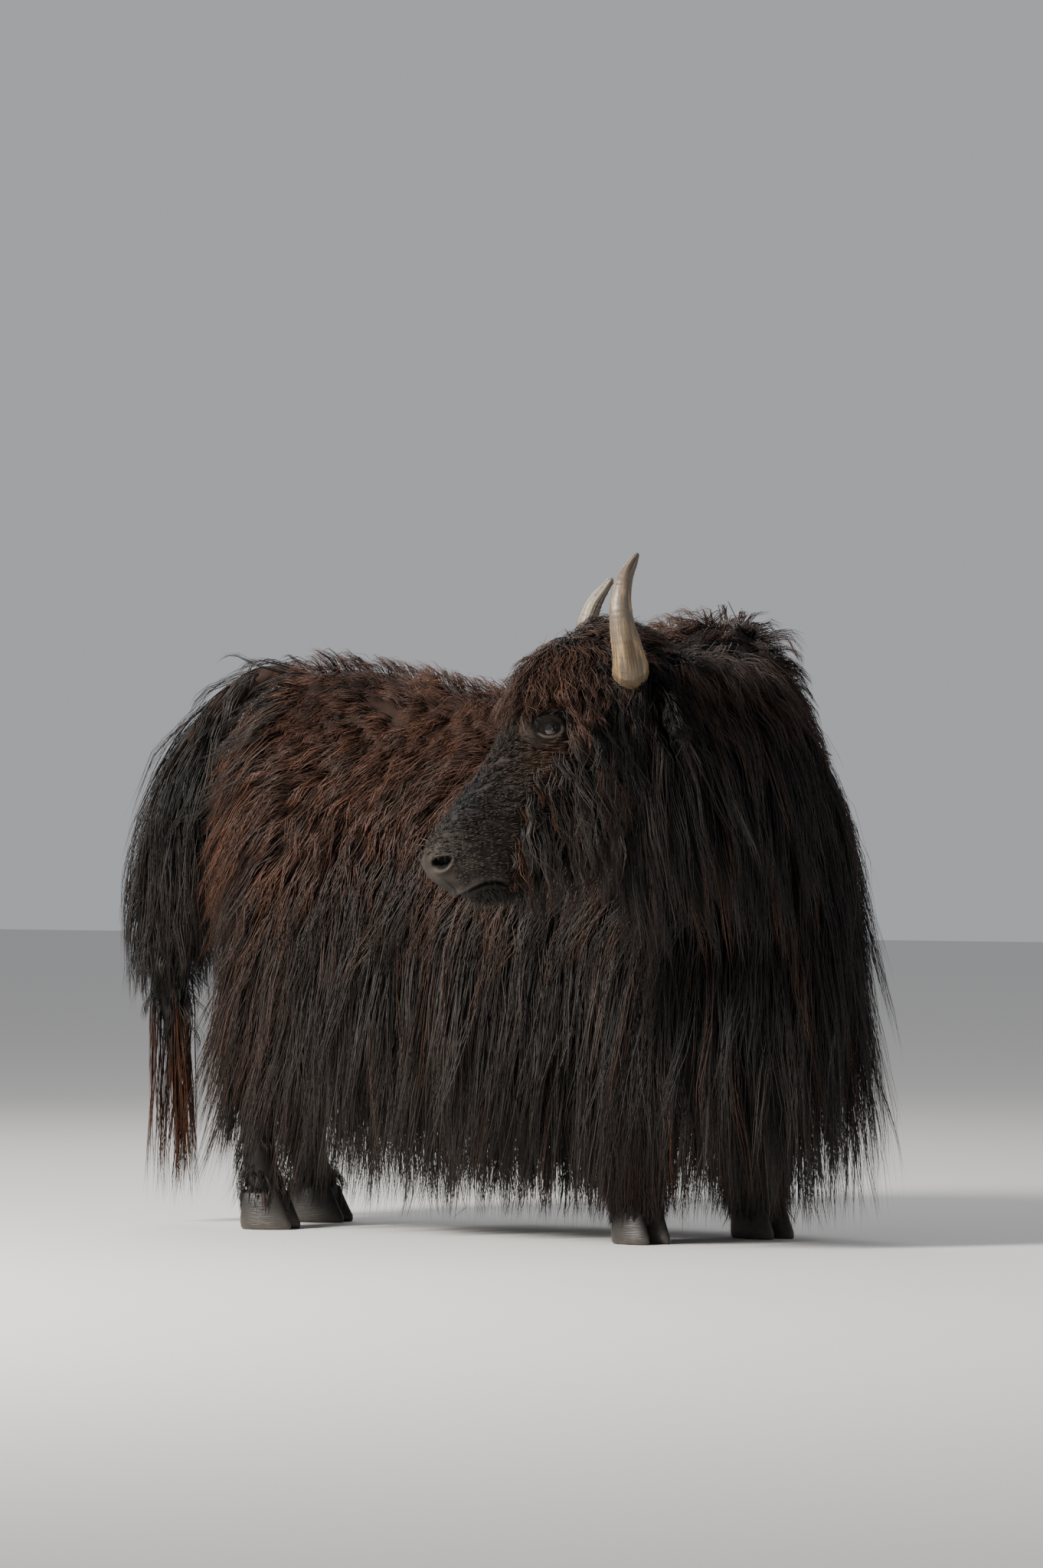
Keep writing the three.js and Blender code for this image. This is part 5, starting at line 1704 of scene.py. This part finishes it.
def forelock_locks(look, chance):
    """Locks that fan from the crown over the brow."""

    def density(along, left, up):
        return (up > 20) * smooth(-along, -215, -150) * clear_of_eye(along, np.abs(left), up, 1.6)

    roots, along, left, up = face_roots(320, density, chance)
    n, out = len(along), np.abs(left) / 100
    rear = smooth(-along, -50, 20)
    parting = np.sign(left) * (0.25 + 0.9 * out) + chance.normal(0, 0.3, n)
    way = face_way(1.0 - 0.3 * out - 1.8 * rear, parting, 0.05 - 0.5 * out)
    lie = swept(way, roots, chance.normal(0, 0.3, n))
    fall = unit(way * 0.7 + DOWN * 0.6)
    long = (chance.uniform(85, 150, n) - 40 * smooth(along, 130, 200)) * (1 - 0.35 * rear) * MM
    crown = smooth(-along, -120, -20)
    tall = chance.uniform(0.15, 1, n) * (36 - 20 * smooth(along, 120, 210)) * (1 - 0.65 * crown) * MM
    lines = parted(grown(roots, lie, fall, long, 0.32 - 0.16 * crown, tall, 0.24, 8, chance, 0.2))
    tint = (BLACK * 0.8 + BROWN * 0.8) * chance.uniform(0.55, 1.6, (n, 1))
    return lock_strands(lines, roots, tint, look, chance)


def poll_locks(look, chance):
    """Locks at the back of the poll, where the head meets the neck."""
    n = 90
    left, up = chance.uniform(-100, 100, n), chance.uniform(-10, 110, n)
    spots, normals, _ = nearest(world(on_face(-95.0, left, up)))
    unwrapped = head_form.unwrap(np.full(n, -50.0), np.arctan2(up, left))
    roots = {"root": spots, "normal": normals, "uv": unwrapped}
    way = face_way(-0.6, left * 0.004, -0.5)
    lie = swept(way, roots, chance.normal(0, 0.4, n))
    long, tall = chance.uniform(55, 90, n) * MM, chance.uniform(0.2, 1, n) * 12 * MM
    lines = grown(roots, lie, unit(way + DOWN * 0.6), long, 0.3, tall, 0.35, 7, chance, 0.15)
    tint = (BLACK * 0.8 + BROWN * 0.35) * chance.uniform(0.55, 1.6, (n, 1))
    return lock_strands(lines, roots, tint, look, chance)


# Upper edge of the cheek's long hair: distances along the face, and the edge's level there
CHEEK_EDGE = ([0, 150, 230, 330, 430, 490, 520, 560], [70, 60, 27, 15, -20, -82, -112, -130])


def cheek_locks(look, chance):
    """Wavy locks that hang from the cheeks and the jaw."""

    def density(along, left, up):
        below = up < np.interp(along, *CHEEK_EDGE)
        return below * (along < 505) * (0.7 + 0.3 * smooth(-along, -380, -200))

    roots, along, _, up = face_roots(440, density, chance)
    n = len(along)
    lie = swept(DOWN - HEAD_AHEAD * 0.25, roots, chance.normal(0, 0.22, n))
    fall = unit(DOWN - HEAD_AHEAD * 0.12)
    edge = smooth(np.interp(along, *CHEEK_EDGE) - up, 0, 60)
    long = (0.3 + 0.7 * edge) * np.interp(along, [0, 200, 300, 400, 460, 505], [250, 230, 215, 180, 90, 30])
    long = long * chance.uniform(0.75, 1.15, n) * MM
    tall = (0.4 + 0.6 * edge) * np.interp(along, [0, 200, 300, 400, 490], [38, 28, 20, 14, 5])
    tall = tall * chance.uniform(0.1, 1, n) * MM
    lines = parted(grown(roots, lie, fall, long, 0.3, tall, 0.3, 8, chance, 0.14))
    # The greyer locks are lighter than the coat's grey: grey hair with a painted sheen.
    tint = np.where(chance.uniform(0, 1, n)[:, None] < 0.25, BROWN * 0.9, GREY * 1.25)
    # Behind the eye, under the horn, the locks are darkened towards black: painted shade.
    tint = tinted(tint * chance.uniform(0.4, 1.7, (n, 1)), BLACK * 0.7, smooth(-along, -190, -60))
    return lock_strands(lines, roots, tint, look, chance)


def make_forelock():
    """The forelock with the back of the poll, and the locks of the cheeks."""
    chance = np.random.default_rng(191)
    look = LOOK | dict(spread=0.012, width=0.0023, clump=0.5)
    fore_look = look | dict(each=10, curl=0.008, wave=0.085, wild=0.1, stray=0.014)
    fore = forelock_locks(fore_look, chance)
    poll = poll_locks(fore_look, chance)
    cheek = cheek_locks(look | dict(each=9, curl=0.010, wave=0.115, wild=0.08), chance)
    coat_piece("forelock", fore, poll)
    coat_piece("cheek_hair", cheek)


def make_ears():
    look = LOOK | dict(each=4, knots=4, spread=0.006, width=0.002, clump=0.4, curl=0.003, wave=0.08)
    for name, side in SIDES.items():
        chance = np.random.default_rng(201 + side)
        roots = sown(ears[name], lambda u, turn, q: np.ones_like(u), 150, chance, 0.02)
        n = len(roots["u"])
        down = towards_tip(ears[name], roots, 0.05)
        lie = swept(down, roots, chance.normal(0, 0.3, n))
        long = chance.uniform(25, 60, n) * MM
        tall = chance.uniform(0.1, 1, n) * 9 * MM
        lines = grown(roots, lie, unit(down + DOWN * 0.5), long, 0.2, tall, 0.25, 4, chance)
        # The ear hair is near black: the coat's black, kept dark as painted shade under the horn.
        tint = BLACK * chance.uniform(0.6, 1.6, (n, 1))
        coat_piece(f"ear_hair_{name}", lock_strands(lines, roots, tint, look, chance))


make_back()
make_rump()
for name, side in SIDES.items():
    make_flank(name, side)
    make_skirt(name, side)
make_chest()
make_hump()
make_mane()
make_tail()
make_legs()
make_face()
make_forelock()
make_ears()


# Lashes and bristles: fine paths that a node tree turns into tapered strands
def bristle_tree():
    tree = bpy.data.node_groups.new("bristles", "GeometryNodeTree")
    tree.interface.new_socket("Paths", in_out="INPUT", socket_type="NodeSocketGeometry")
    for name, kind, value in (
        ("Thickness", "NodeSocketFloat", 0.0004),
        ("Tip", "NodeSocketFloat", 0.25),
        ("Sides", "NodeSocketInt", 5),
        ("Material", "NodeSocketMaterial", HAIR),
    ):
        tree.interface.new_socket(name, in_out="INPUT", socket_type=kind).default_value = value
    tree.interface.new_socket("Strands", in_out="OUTPUT", socket_type="NodeSocketGeometry")
    given = node(tree, "NodeGroupInput").outputs
    paths = node(tree, "GeometryNodeMeshToCurve", {"Mesh": given["Paths"]})
    how_far = node(tree, "GeometryNodeSplineParameter").outputs["Factor"]
    taper = node(tree, "ShaderNodeMapRange", {"Value": how_far, "To Min": 1.0, "To Max": given["Tip"]})
    round_it = {"Radius": given["Thickness"], "Resolution": given["Sides"]}
    ring = node(tree, "GeometryNodeCurvePrimitiveCircle", round_it)
    swept_round = {"Curve": paths.outputs["Curve"], "Profile Curve": ring.outputs["Curve"]}
    swept_round |= {"Scale": taper.outputs["Result"], "Fill Caps": True}
    strands = node(tree, "GeometryNodeCurveToMesh", swept_round)
    real = node(tree, "GeometryNodeRealizeInstances", {"Geometry": strands.outputs["Mesh"]})
    covered = {"Geometry": real.outputs[0], "Material": given["Material"]}
    finish = node(tree, "GeometryNodeSetMaterial", covered)
    out = node(tree, "NodeGroupOutput")
    tree.links.new(finish.outputs[0], out.inputs["Strands"])
    return tree


BRISTLES = bristle_tree()


def bristle_piece(name, paths, uv, colour, thickness):
    """Strands along paths, each a list of as many points, as one mesh."""
    count, knots, _ = paths.shape
    mesh = bpy.data.meshes.new(name)
    start = np.arange(count)[:, None] * knots + np.arange(knots - 1)[None]
    edges = np.stack([start, start + 1], -1).reshape(-1, 2)
    mesh.from_pydata(paths.reshape(-1, 3).tolist(), edges.tolist(), [])
    place = mesh.attributes.new("place", "FLOAT_VECTOR", "POINT")
    along = np.tile(np.linspace(0, 0.003, knots), count)
    spots = np.concatenate([np.repeat(uv, knots, 0) + along[:, None], np.zeros((count * knots, 1))], 1)
    place.data.foreach_set("vector", spots.astype(np.float32).ravel())
    paths_object = bpy.data.objects.new(name + "_paths", mesh)
    scene.collection.objects.link(paths_object)
    modifier = paths_object.modifiers.new("strands", "NODES")
    modifier.node_group = BRISTLES
    sizes = {"Thickness": thickness, "Material": HAIR}
    for item in BRISTLES.interface.items_tree:
        if item.name in sizes:
            modifier[item.identifier] = sizes[item.name]
    settled = bpy.context.evaluated_depsgraph_get()
    made = bpy.data.meshes.new_from_object(paths_object.evaluated_get(settled))
    bpy.data.objects.remove(paths_object)
    places = np.zeros(len(made.vertices) * 3, np.float32)
    made.attributes["place"].data.foreach_get("vector", places)
    loops = np.zeros(len(made.loops), np.int32)
    made.loops.foreach_get("vertex_index", loops)
    layer = made.uv_layers.new(name="OFBake")
    layer.data.foreach_set("uv", places.reshape(-1, 3)[loops][:, :2].ravel())
    made.attributes.remove(made.attributes["place"])
    tint = made.color_attributes.new("tint", "FLOAT_COLOR", "POINT")
    tint.data.foreach_set("color", np.tile(np.array([*colour, 1.0], np.float32), len(made.vertices)))
    made.shade_smooth()
    piece = bpy.data.objects.new(name, made)
    scene.collection.objects.link(piece)
    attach(piece, "root")


def make_lashes():
    chance = np.random.default_rng(211)
    t = np.linspace(0, 1, 5)
    for name, side in SIDES.items():
        paths, uv = [], []
        for first, last, count, long, rise in ((0.12, 0.88, 26, 13, 0.5), (-0.85, -0.15, 14, 6, -0.45)):
            for k in range(count):
                turn = math.pi * (first + (last - first) * (k + chance.uniform(0.2, 0.8)) / count)
                x = (OPENING["long"] - 0.5) * math.cos(turn)
                z = (OPENING["tall"] - 0.5) * math.sin(turn)
                x, z = eye_axes(x, z, EYE_SLANT)
                y = math.sqrt(max((EYE["radius"] + 2.6) ** 2 - x * x - z * z, 1))
                size = long * chance.uniform(0.75, 1.15)
                reach = size * (t * 0.92)
                lift = size * rise * (t - 1.7 * t**2 + 1.4 * t**3)
                spots = on_face(
                    EYE["along"] + x * (1 + 0.02 * reach) + 0.25 * reach,
                    side * (EYE["out"] + y + reach),
                    EYE["up"] + z + lift - 0.25 * reach * (rise > 0),
                )
                paths.append(world(spots))
                uv.append((0.4 + 0.02 * side + 0.0001 * k, 0.8))
        bristle_piece(f"lashes_{name}", np.array(paths), np.array(uv), BLACK * 0.8, 0.00045)


def make_bristles():
    """Bristles round the nostrils, on the lips and under the chin."""
    chance = np.random.default_rng(212)

    def density(along, left, up):
        return smooth(along, 490, 530) * (nostril_ring(along, up) > 1.3) * (0.35 + smooth(-up, 20, 70))

    roots, along, _, up = face_roots(170, density, chance)
    n = len(along)
    way = unit(roots["normal"] * 0.8 + face_way(0.4, 0.0, -0.6) + DOWN * 0.35 + chance.normal(0, 0.2, (n, 3)))
    long = (chance.uniform(9, 20, n) + 14 * smooth(-up, 30, 80)) * MM
    t = np.linspace(0, 1, 5)[None, :, None]
    paths = roots["root"][:, None] + way[:, None] * long[:, None, None] * t
    paths = paths + DOWN * (long[:, None, None] * 0.35 * t**2)
    bristle_piece("bristles", paths, roots["uv"], GREY * 1.3, 0.00032)


make_lashes()
make_bristles()


# Floor and light
def new_light(name, place, aim, size, power, colour):
    light = bpy.data.lights.new(name, "AREA")
    light.shape = "DISK"
    light.size = size
    light.energy = power
    light.color = colour
    lamp = bpy.data.objects.new(name, light)
    lamp.location = place
    lamp.rotation_euler = (Vector(aim) - Vector(place)).to_track_quat("-Z", "Y").to_euler()
    scene.collection.objects.link(lamp)


floor_stuff, _, floor_shader = new_material("floor")
floor_shader.inputs["Base Color"].default_value = (0.66, 0.65, 0.63, 1)
floor_shader.inputs["Roughness"].default_value = 0.85
floor_mesh = bpy.data.meshes.new("floor")
floor_mesh.from_pydata([(-30, -30, 0), (30, -30, 0), (30, 30, 0), (-30, 30, 0)], [], [(0, 1, 2, 3)])
floor_mesh.materials.append(floor_stuff)
floor = bpy.data.objects.new("floor", floor_mesh)
scene.collection.objects.link(floor)

sky = bpy.data.worlds.new("sky")
sky.use_nodes = True
sky.node_tree.nodes["Background"].inputs["Color"].default_value = (0.93, 0.95, 1.0, 1)
sky.node_tree.nodes["Background"].inputs["Strength"].default_value = 0.44
scene.world = sky

key = -right * 4.4 + toward * 3.0 + UP * 4.2
fill = right * 4.5 + toward * 4.0 + UP * 2.4
rim = -toward * 4.5 - right * 1.0 + UP * 4.5
new_light("key", key, (0, 0, 0.8), 1.5, 1080, (1.0, 0.96, 0.90))
new_light("fill", fill, (0, 0, 0.8), 4.0, 45, (0.93, 0.96, 1.0))
new_light("rim", rim, (0, 0, 1.0), 3.0, 110, (1.0, 0.98, 0.96))
